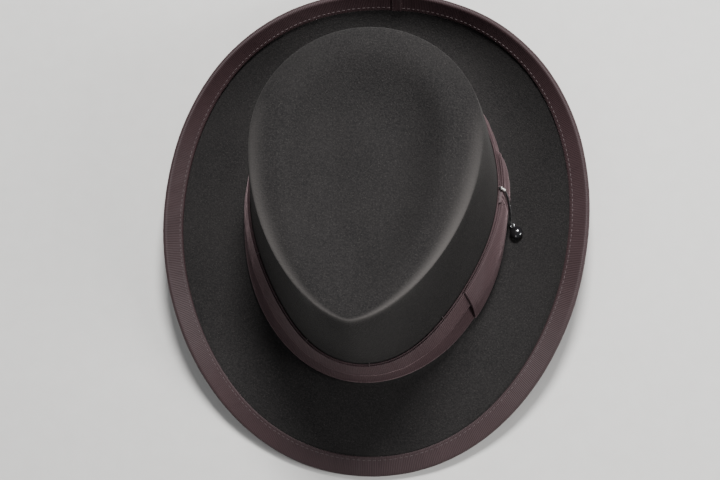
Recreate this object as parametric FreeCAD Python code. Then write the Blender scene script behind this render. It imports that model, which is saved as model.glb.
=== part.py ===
import FreeCAD, Part

import math
import os

# A fedora: one felt body (crown and brim), its brim edge bound in grosgrain ribbon, a two-tier grosgrain band
# with a flat bow on the wearer's left, an elastic wind cord with a ball button, a leather sweatband on a reed,
# and a satin lining.
# Frame: millimetres, +Z up, front of the hat towards -Y, the wearer's left (the bow) towards +X.
# The origin is under the middle of the brim, on the table that the hat stands on: it leans back a little there, on
# the front edge of its brim and the back of its break. The hat is drawn level first, with its origin in the middle
# of the crown, and each piece is then leaned and moved by stand().
#
# A place on the hat is given by its turn, in degrees about +Z: 0 is the wearer's left, 90 the back, 180 the
# wearer's right and 270 the front.

os.makedirs("parts", exist_ok=True)
Vector = FreeCAD.Vector

# ---- Driving dimensions -------------------------------------------------------------------------------------
CROWN_HALF_LENGTH = 109.0   # crown's foot, outside the felt, centre to front or back
CROWN_HALF_WIDTH = 83.5     # the same, centre to side
BRIM_REACH = {"front": 167.0, "back": 148.0}    # brim edge, from the middle of the crown
BRIM_HALF_WIDTH = 136.0     # brim edge, centre to side
BREAK_HEIGHT = 15.0         # where the brim meets the crown
FELT = 2.2                  # thickness of the felt

# Brim edge heights above the break, and how late the brim bends (1 is straight, 3 is a late curl)
EDGE_RISE = {"front": -16.0, "side": 21.5, "back": 26.0}
EDGE_CURL = {"front": 1.2, "side": 1.3, "back": 3.6}
EDGE_SWAY = 5.0             # the edge is this much higher at the back quarters, and lower at the front ones
BRIM_SQUARENESS = 2.08      # 2 is an ellipse
BREAK_RADIUS = 5.0          # the round between the brim and the crown's foot

# The crown's rim is a teardrop with its point at the front
RIM_HALF_WIDTH = 70.5
RIM_CENTRE_Y = 22.0
RIM_FRONT = 118.0           # from the rim's centre to its front point
RIM_BACK = 69.0
RIM_POINT = 1.3             # 1 is a round front, 2 a sharp one
RIM_HEIGHT = {"front": 106.5, "side": 101.5, "back": 104.0}   # above the break

# Up the wall: (share of the height, share of the way in from foot to rim, the same inside a side pinch)
WALL = ((0.09, 0.06, 0.10), (0.20, 0.16, 0.29), (0.32, 0.29, 0.49), (0.44, 0.40, 0.67), (0.56, 0.49, 0.83),
        (0.66, 0.56, 0.97), (0.74, 0.62, 1.08), (0.82, 0.70, 1.17), (0.89, 0.79, 1.18), (0.95, 0.89, 1.09),
        (0.985, 0.955, 1.02))
# The top rises from the rim over a soft shoulder to its crest, and the bash sinks inside that
CREST = {"front": 0.97, "side": 0.72, "back": 0.82}     # outline of the crest, as a share of the rim's
SHOULDER = {"front": 1.0, "side": 5.0, "back": 5.0}     # height from the rim to the crest
# Over the top: (share of the way from crest to rim, share of the shoulder's fall, share of the crest's outline,
# depth of the bash)
TOP = ((1.0, 1.0, 1.0, 0.0), (0.72, 0.48, 1.0, 0.0), (0.38, 0.13, 1.0, 0.0), (0.0, 0.0, 1.0, 0.0),
       (0.0, 0.0, 0.91, 1.0), (0.0, 0.0, 0.80, 4.2), (0.0, 0.0, 0.68, 8.0), (0.0, 0.0, 0.54, 11.2),
       (0.0, 0.0, 0.40, 12.8), (0.0, 0.0, 0.26, 12.8), (0.0, 0.0, 0.12, 12.2))
DENT_CENTRE_Y = 6.0
CENTRE_RING = 3.0           # radius of the small flat disc that closes the top
PINCH_TURN = 52.0           # the pinch is deepest this far round from the front point
PINCH_REACH = 44.0          # and it fades out this far to each side

# Ribbons, cord and linings
RIBBON = 0.6                # thickness of the grosgrain
GAP = 0.3                   # clearance between neighbouring pieces
BAND_FOOT = 3.5             # band's lower edge above the break
BAND_TOP = 33.0
OVERLAY_FOOT = 19.5         # lower edge of the narrow ribbon over the band
BINDING_WIDTH = 11.5        # ribbon showing on each face of the brim
BOW_TURN = 1.0              # middle of the bow
BOW_FRONT = 70.0            # loop lengths from the middle
BOW_BACK = 30.0
KNOT_WIDTH = 12.5
CORD = 1.2                  # diameter of the elastic cord
BUTTON = 8.6                # diameter of the button, which is a flattened ball
BUTTON_THICKNESS = 5.6
SWEATBAND_HEIGHT = 44.0
SWEATBAND = 1.1             # thickness of the leather
SATIN = 0.5
THREAD = 0.45

COLUMNS = 72
TURNS = [360.0 * i / COLUMNS for i in range(COLUMNS)]


# ---- Shape of the felt --------------------------------------------------------------------------------------
def by_side(values, turn):
    """A value that goes smoothly from the sides to the front and the back."""
    s = math.sin(math.radians(turn))
    end = values["back"] if s > 0 else values["front"]
    return values["side"] + (end - values["side"]) * s * s


def foot_outline(turn, out=0.0):
    """The oval of the crown's foot, out millimetres further out, as x and y."""
    a = math.radians(turn)
    return (CROWN_HALF_WIDTH + out) * math.cos(a), (CROWN_HALF_LENGTH + out) * math.sin(a)


def rim_outline(turn):
    """The teardrop of the crown's rim, as x and y."""
    a = math.radians(turn)
    c, s = math.cos(a), math.sin(a)
    if s > 0:
        return RIM_HALF_WIDTH * c, RIM_CENTRE_Y + RIM_BACK * s
    return RIM_HALF_WIDTH * math.copysign(abs(c) ** RIM_POINT, c), RIM_CENTRE_Y + RIM_FRONT * s


def pinch(turn):
    """How much of the side pinch there is at a turn, from 0 to 1."""
    from_front = abs((turn - 270.0 + 180.0) % 360.0 - 180.0)
    away = (from_front - PINCH_TURN) / PINCH_REACH
    return math.cos(away * math.pi / 2) ** 2 if abs(away) < 1 else 0.0


def wall_point(turn, height, reach, pinched_reach):
    """A point on the crown's wall, at a share of its height and of the way in to the rim."""
    foot, rim = foot_outline(turn), rim_outline(turn)
    share = reach + (pinched_reach - reach) * pinch(turn)
    return Vector(foot[0] + (rim[0] - foot[0]) * share, foot[1] + (rim[1] - foot[1]) * share,
                  BREAK_HEIGHT + height * (by_side(RIM_HEIGHT, turn) - by_side(SHOULDER, turn)))


def top_point(turn, station, outline=1.0, lower=0.0):
    """A point on the crown's top at one of its stations, on a smaller outline and lower if asked."""
    out, fall, inside, depth = station
    crest = by_side(CREST, turn)
    share = (crest + (1 - crest) * out) * inside * outline
    drop = by_side(SHOULDER, turn) * fall + depth + lower
    x, y = rim_outline(turn)
    round_x, round_y = CENTRE_RING * math.cos(math.radians(turn)), CENTRE_RING * math.sin(math.radians(turn))
    level = by_side(RIM_HEIGHT, turn) * share + RIM_HEIGHT["side"] * (1 - share)
    return Vector(x * share + round_x * (1 - share), DENT_CENTRE_Y + (y - DENT_CENTRE_Y) * share + round_y * (1 - share),
                  BREAK_HEIGHT + level - drop)


def brim_point(turn, share):
    """A point on the brim's upper face, from the break (0) to the edge (1)."""
    a = math.radians(turn)
    c, s = math.cos(a), math.sin(a)
    stretch = (abs(c) ** BRIM_SQUARENESS + abs(s) ** BRIM_SQUARENESS) ** (-1 / BRIM_SQUARENESS)
    edge = BRIM_HALF_WIDTH * c * stretch, BRIM_REACH["back" if s > 0 else "front"] * s * stretch
    start = foot_outline(turn, BREAK_RADIUS)
    sway = EDGE_SWAY * math.copysign(math.sin(2 * a) ** 2, s)
    rise = (by_side(EDGE_RISE, turn) + sway) * share ** by_side(EDGE_CURL, turn)
    return Vector(start[0] + (edge[0] - start[0]) * share, start[1] + (edge[1] - start[1]) * share,
                  BREAK_HEIGHT + rise)


def fillet_point(turn, angle):
    """A point on the round at the break; angle 0 is the brim's end and 90 the wall's."""
    a = math.radians(angle)
    x, y = foot_outline(turn, BREAK_RADIUS * (1 - math.sin(a)))
    return Vector(x, y, BREAK_HEIGHT + BREAK_RADIUS * (1 - math.cos(a)))


BRIM_STATIONS = (0.08, 0.2, 0.35, 0.5, 0.64, 0.76, 0.85, 0.92, 0.96, 1.0)


def felt_rings():
    """Control rings of the felt's outer face, from the middle of the top to the brim's edge."""
    rings = [[top_point(t, TOP[-1], outline=0.0) for t in TURNS]]
    rings += [[top_point(t, station) for t in TURNS] for station in reversed(TOP)]
    rings += [[wall_point(t, *station) for t in TURNS] for station in reversed(WALL)]
    rings += [[fillet_point(t, angle) for t in TURNS] for angle in (90, 60, 30, 0)]
    rings += [[brim_point(t, share) for t in TURNS] for share in BRIM_STATIONS]
    return rings


def normal(rings, row, column):
    """Outward normal of a grid of control rings, by differences."""
    up, down = rings[max(row - 1, 0)], rings[min(row + 1, len(rings) - 1)]
    along = down[column].sub(up[column])
    around = rings[row][(column + 1) % COLUMNS].sub(rings[row][column - 1])
    n = along.cross(around)
    n.normalize()
    return n


def shifted(rings, distance):
    """The rings moved along their outward normals."""
    return [[p.add(normal(rings, i, j).multiply(distance)) for j, p in enumerate(ring)]
            for i, ring in enumerate(rings)]


def lerp(a, b, share):
    return a.add(b.sub(a).multiply(share))


def wall_place(rings, turn, height, out):
    """The point on the crown's wall at a height above the break, out millimetres off the felt's outer face."""
    column = (turn % 360.0) / 360.0 * COLUMNS
    left, part = int(column) % COLUMNS, column - int(column)
    spots = []
    for j in (left, (left + 1) % COLUMNS):
        for i in range(WALL_FIRST, WALL_LAST):
            upper, lower = rings[i][j].z - BREAK_HEIGHT, rings[i + 1][j].z - BREAK_HEIGHT
            if lower <= height <= upper:
                share = (upper - height) / (upper - lower)
                place = lerp(rings[i][j], rings[i + 1][j], share)
                n = lerp(normal(rings, i, j), normal(rings, i + 1, j), share)
                n.normalize()
                spots.append(place.add(n.multiply(out)))
                break
    return lerp(spots[0], spots[1], part)


FELT_RINGS = felt_rings()
WALL_FIRST = 1 + len(TOP)               # row of the highest wall ring
WALL_LAST = WALL_FIRST + len(WALL) + 3  # row of the last ring of the break's round


# ---- Building solids from control rings and grids -----------------------------------------------------------
def knots(count, degree):
    """Knots and multiplicities of a clamped, uniform B-spline."""
    inner = count - degree
    return [degree + 1] + [1] * (inner - 1) + [degree + 1], [float(k) for k in range(inner + 1)]


def skin(rings):
    """A face over closed control rings, smooth round the rings and from ring to ring."""
    degree = min(3, len(rings) - 1)
    mults, places = knots(len(rings), degree)
    surface = Part.BSplineSurface()
    surface.buildFromPolesMultsKnots(rings, mults, [1] * (COLUMNS + 1), places,
                                     [float(k) for k in range(COLUMNS + 1)], False, True, degree, 3)
    return surface.toShape()


def patch(grid):
    """A face over an open control grid."""
    rows, columns = len(grid), len(grid[0])
    row_degree, column_degree = min(3, rows - 1), min(3, columns - 1)
    row_mults, row_places = knots(rows, row_degree)
    column_mults, column_places = knots(columns, column_degree)
    surface = Part.BSplineSurface()
    surface.buildFromPolesMultsKnots(grid, row_mults, column_mults, row_places, column_places, False, False,
                                     row_degree, column_degree)
    return surface.toShape()


def sewn(faces):
    """One closed solid from the faces that bound it."""
    shell = Part.makeShell(faces)
    shell.sewShape()
    solid = Part.makeSolid(shell if shell.ShapeType == "Shell" else shell.Shells[0])
    if solid.Volume < 0:
        solid.reverse()
    return solid


def ring_solid(*groups):
    """A solid ring. Each group is a smooth strip of rings, and the groups follow each other round the section."""
    faces = [skin(group) for group in groups]
    for here, after in zip(groups, groups[1:] + groups[:1]):
        if here[-1] is not after[0]:
            faces.append(skin([here[-1], after[0]]))
    return sewn(faces)


def slab(top, bottom):
    """A solid between two open control grids of the same size."""
    def rim(grid):
        return [grid[0], [row[-1] for row in grid], grid[-1], [row[0] for row in grid]]
    sides = [patch([a, b]) for a, b in zip(rim(top), rim(bottom))]
    return sewn([patch(top), patch(bottom)] + sides)


def disc(ring):
    """A flat face inside one closed control ring."""
    curve = Part.BSplineCurve()
    curve.buildFromPolesMultsKnots(ring, [1] * (COLUMNS + 1), [float(k) for k in range(COLUMNS + 1)], True, 3)
    return Part.Face(Part.Wire(curve.toShape()))


made = {}


def keep(name, *solids):
    """Checks a node's solids, which already stand on the table, and keeps them under its name."""
    for solid in solids:
        if not solid.isValid() or solid.Volume <= 0:
            print("PROBLEM", name, "valid", solid.isValid(), "volume", solid.Volume)
    made[name] = solids[0] if len(solids) == 1 else Part.makeCompound(list(solids))
    box = made[name].optimalBoundingBox(False, False)
    print(f"{name}: {len(solids)} solid(s), {sum(s.Volume for s in solids):.0f} mm3,",
          f"{box.XLength:.1f} x {box.YLength:.1f} x {box.ZLength:.1f}")


# ---- Felt body ----------------------------------------------------------------------------------------------
def felt_body():
    """Crown and brim as the one piece of felt that they are blocked from."""
    inner = shifted(FELT_RINGS, -FELT)
    level = sum(p.z for p in inner[0]) / COLUMNS
    inner[0] = [Vector(p.x, p.y, level) for p in inner[0]]
    edge = skin([FELT_RINGS[-1], inner[-1]])
    return sewn([skin(FELT_RINGS), skin(inner), edge, disc(FELT_RINGS[0]), disc(inner[0])])


# ---- Brim binding -------------------------------------------------------------------------------------------
BINDING_CLEARANCE = 0.2     # between the felt and the ribbon folded over its edge


def brim_shift(turn, share, out):
    """A point out millimetres above the brim's upper face (below its lower face if out is negative)."""
    step = 0.01
    here = brim_point(turn, share)
    along = brim_point(turn, share + step).sub(brim_point(turn, share - step))
    around = brim_point(turn + 1, share).sub(brim_point(turn - 1, share))
    n = along.cross(around)
    n.normalize()
    return here.add(n.multiply(out))


def binding_layer(out):
    """Rings of the ribbon folded over the edge, out millimetres clear of the felt."""
    width = [brim_point(t, 1.0).sub(brim_point(t, 0.0)).Length for t in TURNS]
    shares = (1.0, 0.75, 0.5, 0.25, 0.06)
    layer = [[brim_shift(t, 1 - BINDING_WIDTH * s / w, out) for t, w in zip(TURNS, width)] for s in shares]
    for angle in (75, 25, -25, -75):
        ring = []
        for t in TURNS:
            edge = brim_shift(t, 1.0, -FELT / 2)
            up = brim_shift(t, 1.0, 0.0).sub(edge).normalize()
            outward = edge.sub(brim_shift(t, 0.96, -FELT / 2)).normalize()
            a = math.radians(angle)
            reach = out + FELT / 2
            ring.append(edge.add(outward.multiply((out + 0.6) * math.cos(a))).add(up.multiply(reach * math.sin(a))))
        layer.append(ring)
    layer += [[brim_shift(t, 1 - BINDING_WIDTH * s / w, -FELT - out) for t, w in zip(TURNS, width)]
              for s in reversed(shares)]
    return layer


def brim_binding():
    return ring_solid(binding_layer(BINDING_CLEARANCE + RIBBON), binding_layer(BINDING_CLEARANCE)[::-1])


# ---- How the hat stands -------------------------------------------------------------------------------------
def lowest(points, lean):
    a = math.radians(lean)
    return min(p.z * math.cos(a) - p.y * math.sin(a) for p in points)


def lean_back():
    """The lean, in degrees, at which the brim's front edge and the back of the break are equally low."""
    under = shifted(FELT_RINGS, -FELT)
    back = [p for ring in under[WALL_LAST - 1:] for p in ring if p.y > 0]
    front = [p for ring in binding_layer(BINDING_CLEARANCE + RIBBON) for p in ring if p.y < 0]
    low, high = 0.0, 10.0
    for _ in range(40):
        middle = (low + high) / 2
        if lowest(front, middle) < lowest(back, middle):
            low = middle
        else:
            high = middle
    return middle


level_felt, level_binding = felt_body(), brim_binding()
LEAN = lean_back()
TO_TABLE = FreeCAD.Matrix()
TO_TABLE.rotateX(math.radians(-LEAN))
outside = Part.makeCompound([level_felt, level_binding]).transformed(TO_TABLE, True).optimalBoundingBox(False, False)
TO_TABLE.move(Vector(-outside.Center.x, -outside.Center.y, -outside.ZMin))
print(f"leans back {LEAN:.2f} degrees, then moves {TO_TABLE.A14:.2f}, {TO_TABLE.A24:.2f}, {TO_TABLE.A34:.2f} mm")


def stand(*solids):
    """The level solids, leaned back and moved onto the table."""
    return [solid.transformed(TO_TABLE, True) for solid in solids]


keep("felt_body", *stand(level_felt))
keep("brim_binding", *stand(level_binding))


# ---- Threads and cords that run all the way round -----------------------------------------------------------
def thread_ring(centres, radius, sides=6):
    """A closed thread along a ring of centre points, with flats round its section."""
    rows = []
    for k in range(sides):
        a = 2 * math.pi * k / sides
        ring = []
        for j, p in enumerate(centres):
            along = centres[(j + 1) % COLUMNS].sub(centres[j - 1]).normalize()
            side = along.cross(Vector(0, 0, 1)).normalize()
            up = side.cross(along)
            ring.append(p.add(side.multiply(radius * math.cos(a))).add(up.multiply(radius * math.sin(a))))
        rows.append(ring)
    return ring_solid(*[[row, rows[(k + 1) % sides]] for k, row in enumerate(rows)])


STITCH_INSET = 2.2          # from the binding's inner edge to its seam
SEAM_OUT = BINDING_CLEARANCE + RIBBON + THREAD / 2 + 0.05


def binding_seam(out):
    """One seam of the binding, out millimetres above the brim's upper face."""
    centres = []
    for turn in TURNS:
        width = brim_point(turn, 1.0).sub(brim_point(turn, 0.0)).Length
        centres.append(brim_shift(turn, 1 - (BINDING_WIDTH - STITCH_INSET) / width, out))
    return thread_ring(centres, THREAD / 2)


keep("binding_thread", *stand(binding_seam(SEAM_OUT), binding_seam(-FELT - SEAM_OUT)))


# ---- Band round the crown -----------------------------------------------------------------------------------
def wall_ring(height, out):
    return [wall_place(FELT_RINGS, t, height, out) for t in TURNS]


def heights(low, high, count):
    return [low + (high - low) * i / (count - 1) for i in range(count)]


BAND_OUT = GAP + RIBBON     # the band's outer face, off the felt


BAND_FLARE = 2.2            # how far the band's foot stands off more, away from the bow


def band_flare(turn):
    """How far the band's foot stands off at a turn. Under the bow it lies flat."""
    away = abs((turn - BOW_TURN + 180.0) % 360.0 - 180.0)
    share = min(max((away - 55.0) / 60.0, 0.0), 1.0)
    return BAND_FLARE * share * share * (3 - 2 * share)


def band():
    steps = heights(BAND_FOOT, BAND_TOP, 6)

    def layer(out):
        return [[wall_place(FELT_RINGS, t, h, out + band_flare(t) * (1 - i / 5) ** 3) for t in TURNS]
                for i, h in enumerate(steps)]
    return ring_solid(layer(BAND_OUT), layer(GAP)[::-1])


OVERLAY_LIFT = 1.7          # how far its lower edge stands off the band, on the average
OVERLAY_SWING = 0.25        # it lies closer in front of the bow, and gapes as much more across from there
CLOSEST_TURN = 325.0


def overlay_lift(turn):
    return OVERLAY_LIFT - OVERLAY_SWING * math.cos(math.radians(turn - CLOSEST_TURN))


def overlay():
    """The narrow upper ribbon: sewn flat along its top edge, and lifted at its lower edge by the cord."""
    steps = heights(OVERLAY_FOOT, BAND_TOP - 1.0, 5)

    def layer(extra):
        return [[wall_place(FELT_RINGS, t, h, BAND_OUT + 0.2 + overlay_lift(t) * (1 - i / 4) + extra) for t in TURNS]
                for i, h in enumerate(steps)]
    return ring_solid(layer(RIBBON), layer(0.0)[::-1])


keep("hat_band", *stand(band()))
keep("hat_band_overlay", *stand(overlay()))

CORD_RING_DIAMETER = 1.0
CORD_RING_HEIGHT = OVERLAY_FOOT + 2.6
CORD_RING_OUT = BAND_OUT + 0.2 + CORD_RING_DIAMETER / 2
keep("wind_cord_ring", *stand(thread_ring(wall_ring(CORD_RING_HEIGHT, CORD_RING_OUT), CORD_RING_DIAMETER / 2, 8)))


# ---- Bow on the wearer's left -------------------------------------------------------------------------------
def turn_at(distance):
    """The turn that lies a distance from the bow's middle along the band; towards the front is negative."""
    turn, left = BOW_TURN, abs(distance)
    step = 0.5 if distance > 0 else -0.5
    here = wall_place(FELT_RINGS, turn, BAND_FOOT, 0)
    while left > 0:
        there = wall_place(FELT_RINGS, turn + step, BAND_FOOT, 0)
        length = there.sub(here).Length
        turn += step * min(1.0, left / length)
        left -= length
        here = there
    return turn


def along_band(distance, height, out):
    return wall_place(FELT_RINGS, turn_at(distance), height, out)


def bow_slab(start, end, low, high, depth, thickness, columns=10):
    """A flat layer of the bow. low, high and depth are functions of the distance along the band."""
    distances = heights(start, end, columns)
    shares = heights(0.0, 1.0, 5)

    def grid(extra):
        return [[along_band(d, low(d) + (high(d) - low(d)) * s, depth(d, s) + extra(d)) for s in shares]
                for d in distances]
    return slab(grid(thickness), grid(lambda d: 0.0))


BOW_LOW = BAND_FOOT + 0.6
BOW_HIGH = BAND_TOP + 0.4
BOW_UNDER = 1.3             # under side of the bow off the felt, at its lower edge
BOW_RISE = 0.75             # and how much more at its upper edge
BOW_BULGE = 2.3             # and between them, over the lifted overlay
LOOP_THICKNESS = 1.4


def waist(d, reach):
    """How much the loops narrow towards the knot, from 0 at the tip to 1 at the middle."""
    return max(0.0, 1 - abs(d) / reach) ** 2


def bow_depth(d, s):
    """How far the bow's under side stands off the felt, at a share of its height."""
    return BOW_UNDER + BOW_RISE * s + BOW_BULGE * math.sin(math.pi * s)


def loop(tip):
    reach = abs(tip)
    start = math.copysign(KNOT_WIDTH / 2 + 0.3, tip)

    def thickness(d):
        from_tip = (reach - abs(d)) / 6.0
        return LOOP_THICKNESS * (0.55 + 0.45 * min(1.0, from_tip))
    over_tail = RIBBON + GAP if tip > 0 else 0.0
    return bow_slab(start, tip, lambda d: BOW_LOW + 2.2 * waist(d, reach), lambda d: BOW_HIGH - 1.2 * waist(d, reach),
                    lambda d, s: bow_depth(d, s) + over_tail, thickness)


def tail():
    """The cut end of the bow's ribbon, slanted, lying under the back loop and past it."""
    start, end = KNOT_WIDTH / 2 + 0.3, BOW_BACK + 11.0
    slant = 7.0
    distances = heights(0.0, 1.0, 10)
    shares = heights(0.0, 1.0, 5)

    def grid(extra):
        return [[along_band(start + (end - slant * s - start) * u, BOW_LOW + 0.5 + (BOW_HIGH - BOW_LOW - 2.5) * s,
                            bow_depth(0, s) + extra) for s in shares] for u in distances]
    return slab(grid(RIBBON * 0.9), grid(0.0))


def knot():
    """The centre wrap: a broad flat tie, pulled tight, and a little thicker in its middle."""
    half = KNOT_WIDTH / 2
    return bow_slab(-half, half, lambda d: BAND_FOOT + 1.2, lambda d: BAND_TOP + 0.2, bow_depth,
                    lambda d: 1.1 + 0.3 * (1 - (d / half) ** 2), columns=7)


keep("bow_front_loop", *stand(loop(-BOW_FRONT)))
keep("bow_back_loop", *stand(loop(BOW_BACK)))
keep("bow_tail", *stand(tail()))
keep("bow_knot", *stand(knot()))


# ---- Tack stitches that hold the band to the felt -----------------------------------------------------------
TACK_TURNS = (62.0, 118.0, 160.0, 205.0, 243.0, 275.0, 312.0)


def tack(turn):
    """One short tack over the band's upper edge."""
    low = wall_place(FELT_RINGS, turn, BAND_TOP + 0.15, BAND_OUT + 0.2)
    high = wall_place(FELT_RINGS, turn, BAND_TOP + 1.9, 0.35)
    return Part.makeCylinder(THREAD / 2, high.sub(low).Length, low, high.sub(low))


keep("band_tack_threads", *stand(*[tack(t) for t in TACK_TURNS]))


# ---- Wind cord's free end and its button --------------------------------------------------------------------
# The elastic comes out over the band's top edge, falls over the knot and ends just off the brim. Its last bit is a
# small loop, and the wire eye of the button hangs in it. This route is on the table, in millimetres.
CORD_ROUTE = ((80.3, 23.8, 42.8), (81.7, 23.4, 43.9), (84.2, 22.2, 42.6), (86.3, 18.8, 34.3), (87.3, 15.9, 26.4),
              (87.9, 12.9, 18.7), (88.2, 11.3, 13.7), (88.2, 9.6, 12.2))
CORD_LOOP = 1.3             # radius of the elastic's end loop, to the middle of its section
CORD_LOOP_SECTION = 0.9
EYE = 1.2                   # radius of the button's eye, to the middle of its wire
EYE_WIRE = 0.7
LINK = 1.5                  # between the centres of the loop and the eye
LOOP_START = 0.3            # the loop's section starts this far past the cord's end
BRIM_UP = Vector(-0.263, 0.065, 0.9625).normalize()     # off the brim, under the button


def cord_path(points):
    """Straight runs joined by tangent arcs, each as large as its two runs allow."""
    edges, here = [], points[0]
    for before, corner, after in zip(points, points[1:], points[2:]):
        back, on = before.sub(corner), after.sub(corner)
        half_turn = (math.pi - back.getAngle(on)) / 2
        cut = 0.45 * min(back.Length, on.Length)
        radius = cut / math.tan(half_turn)
        start = corner.add(Vector(back).normalize().multiply(cut))
        end = corner.add(Vector(on).normalize().multiply(cut))
        inward = Vector(back).normalize().add(Vector(on).normalize()).normalize()
        middle = corner.add(inward.multiply(radius / math.cos(half_turn) - radius))
        edges += [Part.LineSegment(here, start).toShape(), Part.Arc(start, middle, end).toShape()]
        here = end
        print(f"  cord turn {math.degrees(2 * half_turn):.0f} degrees, radius {radius:.1f}")
    return Part.Wire(edges + [Part.LineSegment(here, points[-1]).toShape()])


def cord_tube(points, diameter):
    """A tube along the route."""
    path = cord_path(points)
    section = Part.Wire(Part.makeCircle(diameter / 2, points[0], points[1].sub(points[0])))
    tube = path.makePipeShell([section], True, False)
    print(f"  cord {path.Length:.1f} mm, volume {tube.Volume:.2f} for {path.Length * math.pi * diameter ** 2 / 4:.2f}")
    return tube


route = [Vector(*point) for point in CORD_ROUTE]
keep("wind_cord", cord_tube(route, CORD))

# A pale sleeve clips the elastic just past where it comes out
sleeve_middle, sleeve_along = lerp(route[1], route[2], 0.45), route[2].sub(route[1]).normalize()
SLEEVE = 2.2
SLEEVE_LENGTH = 3.4
sleeve_foot = sleeve_middle.sub(Vector(sleeve_along).multiply(SLEEVE_LENGTH / 2))
keep("wind_cord_sleeve", Part.makeCylinder(SLEEVE / 2, SLEEVE_LENGTH, sleeve_foot, sleeve_along))

# The loop, the eye and the button, in line with one another and level with the brim
OUTWARD = Vector(0.51, -0.86, 0.0)
ahead = OUTWARD.sub(Vector(BRIM_UP).multiply(OUTWARD.dot(BRIM_UP))).normalize()
across = BRIM_UP.cross(ahead)


def past_cord(distance):
    return route[-1].add(Vector(ahead).multiply(distance))


loop_centre = past_cord(LOOP_START + CORD_LOOP)
eye_centre = past_cord(LOOP_START + CORD_LOOP + LINK)
button_centre = past_cord(LOOP_START + CORD_LOOP + LINK + EYE + BUTTON / 2)
keep("wind_cord_loop", Part.makeTorus(CORD_LOOP, CORD_LOOP_SECTION / 2, loop_centre, across))
keep("wind_button_eye", Part.makeTorus(EYE, EYE_WIRE / 2, eye_centre, BRIM_UP))


def button():
    """A ball flattened to its thickness, on its side of the brim."""
    flatten = FreeCAD.Matrix()
    flatten.scale(1.0, 1.0, BUTTON_THICKNESS / BUTTON)
    ball = Part.makeSphere(BUTTON / 2).transformGeometry(flatten)
    ball.Placement = FreeCAD.Placement(button_centre, FreeCAD.Rotation(Vector(0, 0, 1), BRIM_UP))
    return ball.Solids[0]


keep("wind_button", button())
hinge = past_cord(LOOP_START + CORD_LOOP * 2)
print("button hinge at", [round(c, 2) for c in hinge], "axis", [round(c, 4) for c in BRIM_UP])


# ---- Sweatband and its reed ---------------------------------------------------------------------------------
LINING_INWARD = 0.6         # satin's outer face behind the felt's inner face
SWEATBAND_INWARD = LINING_INWARD + SATIN + GAP
SWEATBAND_FOOT = 0.6        # above the break
REED = 2.2                  # diameter of the reed that the sweatband's foot is sewn to
REED_HEIGHT = -0.6
STITCH_HEIGHT = 3.4         # of the stitching along the leather's foot
ROUND_TOP = BREAK_RADIUS + 1.0


def inside_place(turn, height, inward):
    """A place inside the crown, inward millimetres behind the felt's inner face, straight down past the break."""
    drop = min(0.0, height - ROUND_TOP)
    return wall_place(FELT_RINGS, turn, max(height, ROUND_TOP), -FELT - inward).add(Vector(0, 0, drop))


def inside_ring(height, inward):
    return [inside_place(t, height, inward) for t in TURNS]


def sweatband():
    """The leather band, from the reed to over the lining's foot."""
    steps = heights(SWEATBAND_FOOT, SWEATBAND_HEIGHT, 8)
    inner = [inside_ring(h, SWEATBAND_INWARD + SWEATBAND) for h in steps]
    outer = [inside_ring(h, SWEATBAND_INWARD) for h in steps]
    return ring_solid(inner, outer[::-1])


def inside_slab(turns, low, high, inward, thickness):
    """A flat strip on the inner face of the sweatband."""
    shares = heights(0.0, 1.0, 4)

    def grid(depth):
        return [[inside_place(t, low + (high - low) * s, depth) for s in shares] for t in turns]
    return slab(grid(inward + thickness), grid(inward))


SWEATBAND_FACE = SWEATBAND_INWARD + SWEATBAND
FACE_CLEARANCE = 0.4        # of what is sewn to the leather's face
keep("sweatband", *stand(sweatband()))
keep("sweatband_reed", *stand(thread_ring(inside_ring(REED_HEIGHT, SWEATBAND_INWARD + REED / 2), REED / 2, 8)))
thread_path = inside_ring(STITCH_HEIGHT, SWEATBAND_FACE + FACE_CLEARANCE + THREAD / 2)
keep("sweatband_thread", *stand(thread_ring(thread_path, THREAD / 2)))

# Where the leather's ends meet, at the back: a strip of tape over the join, and a small flat bow over that
TAPE = 0.4
TAPE_TURNS = heights(87.0, 93.0, 5)
TAPE_FOOT = 5.0
TAPE_TOP = 36.0
SMALL_BOW = 1.0             # thickness of the flat bow
SMALL_BOW_TURNS = heights(83.0, 97.0, 7)
SMALL_BOW_FOOT = 7.0
SMALL_BOW_TOP = 13.5
tape_depth = SWEATBAND_FACE + FACE_CLEARANCE
small_bow_depth = tape_depth + TAPE + GAP
keep("sweatband_tape", *stand(inside_slab(TAPE_TURNS, TAPE_FOOT, TAPE_TOP, tape_depth, TAPE)))
keep("sweatband_bow", *stand(inside_slab(SMALL_BOW_TURNS, SMALL_BOW_FOOT, SMALL_BOW_TOP, small_bow_depth, SMALL_BOW)))


# ---- Satin lining -------------------------------------------------------------------------------------------
LINING_FOOT = 30.0
TIP_EDGE = 0.90             # outline of the tip, as a share of the rim's
TIP_DROP = FELT + 3.2       # straight down from the felt's outer face


def lining_side():
    """The lining's wall, from under the sweatband up to the crown's rim."""
    def layer(inward):
        rings = shifted(FELT_RINGS, -FELT - inward)
        lower = [inside_ring(h, inward) for h in heights(LINING_FOOT, 0.38 * RIM_HEIGHT["side"], 3)]
        return lower + [rings[WALL_LAST - 4 - i] for i, station in enumerate(WALL) if station[0] > 0.4]
    return ring_solid(layer(LINING_INWARD + SATIN), layer(LINING_INWARD)[::-1])


def lining_tip():
    """The lining's top, which follows the bash of the crown."""
    stations = [(TOP[-1], 0.0)] + [(station, TIP_EDGE) for station in reversed(TOP)]
    upper = [[top_point(t, station, outline, TIP_DROP) for t in TURNS] for station, outline in stations]
    lower = [[top_point(t, station, outline, TIP_DROP + SATIN) for t in TURNS] for station, outline in stations]
    return sewn([skin(upper), skin(lower), skin([upper[-1], lower[-1]]), disc(upper[0]), disc(lower[0])])


keep("lining_side", *stand(lining_side()))
keep("lining_tip", *stand(lining_tip()))


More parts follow.
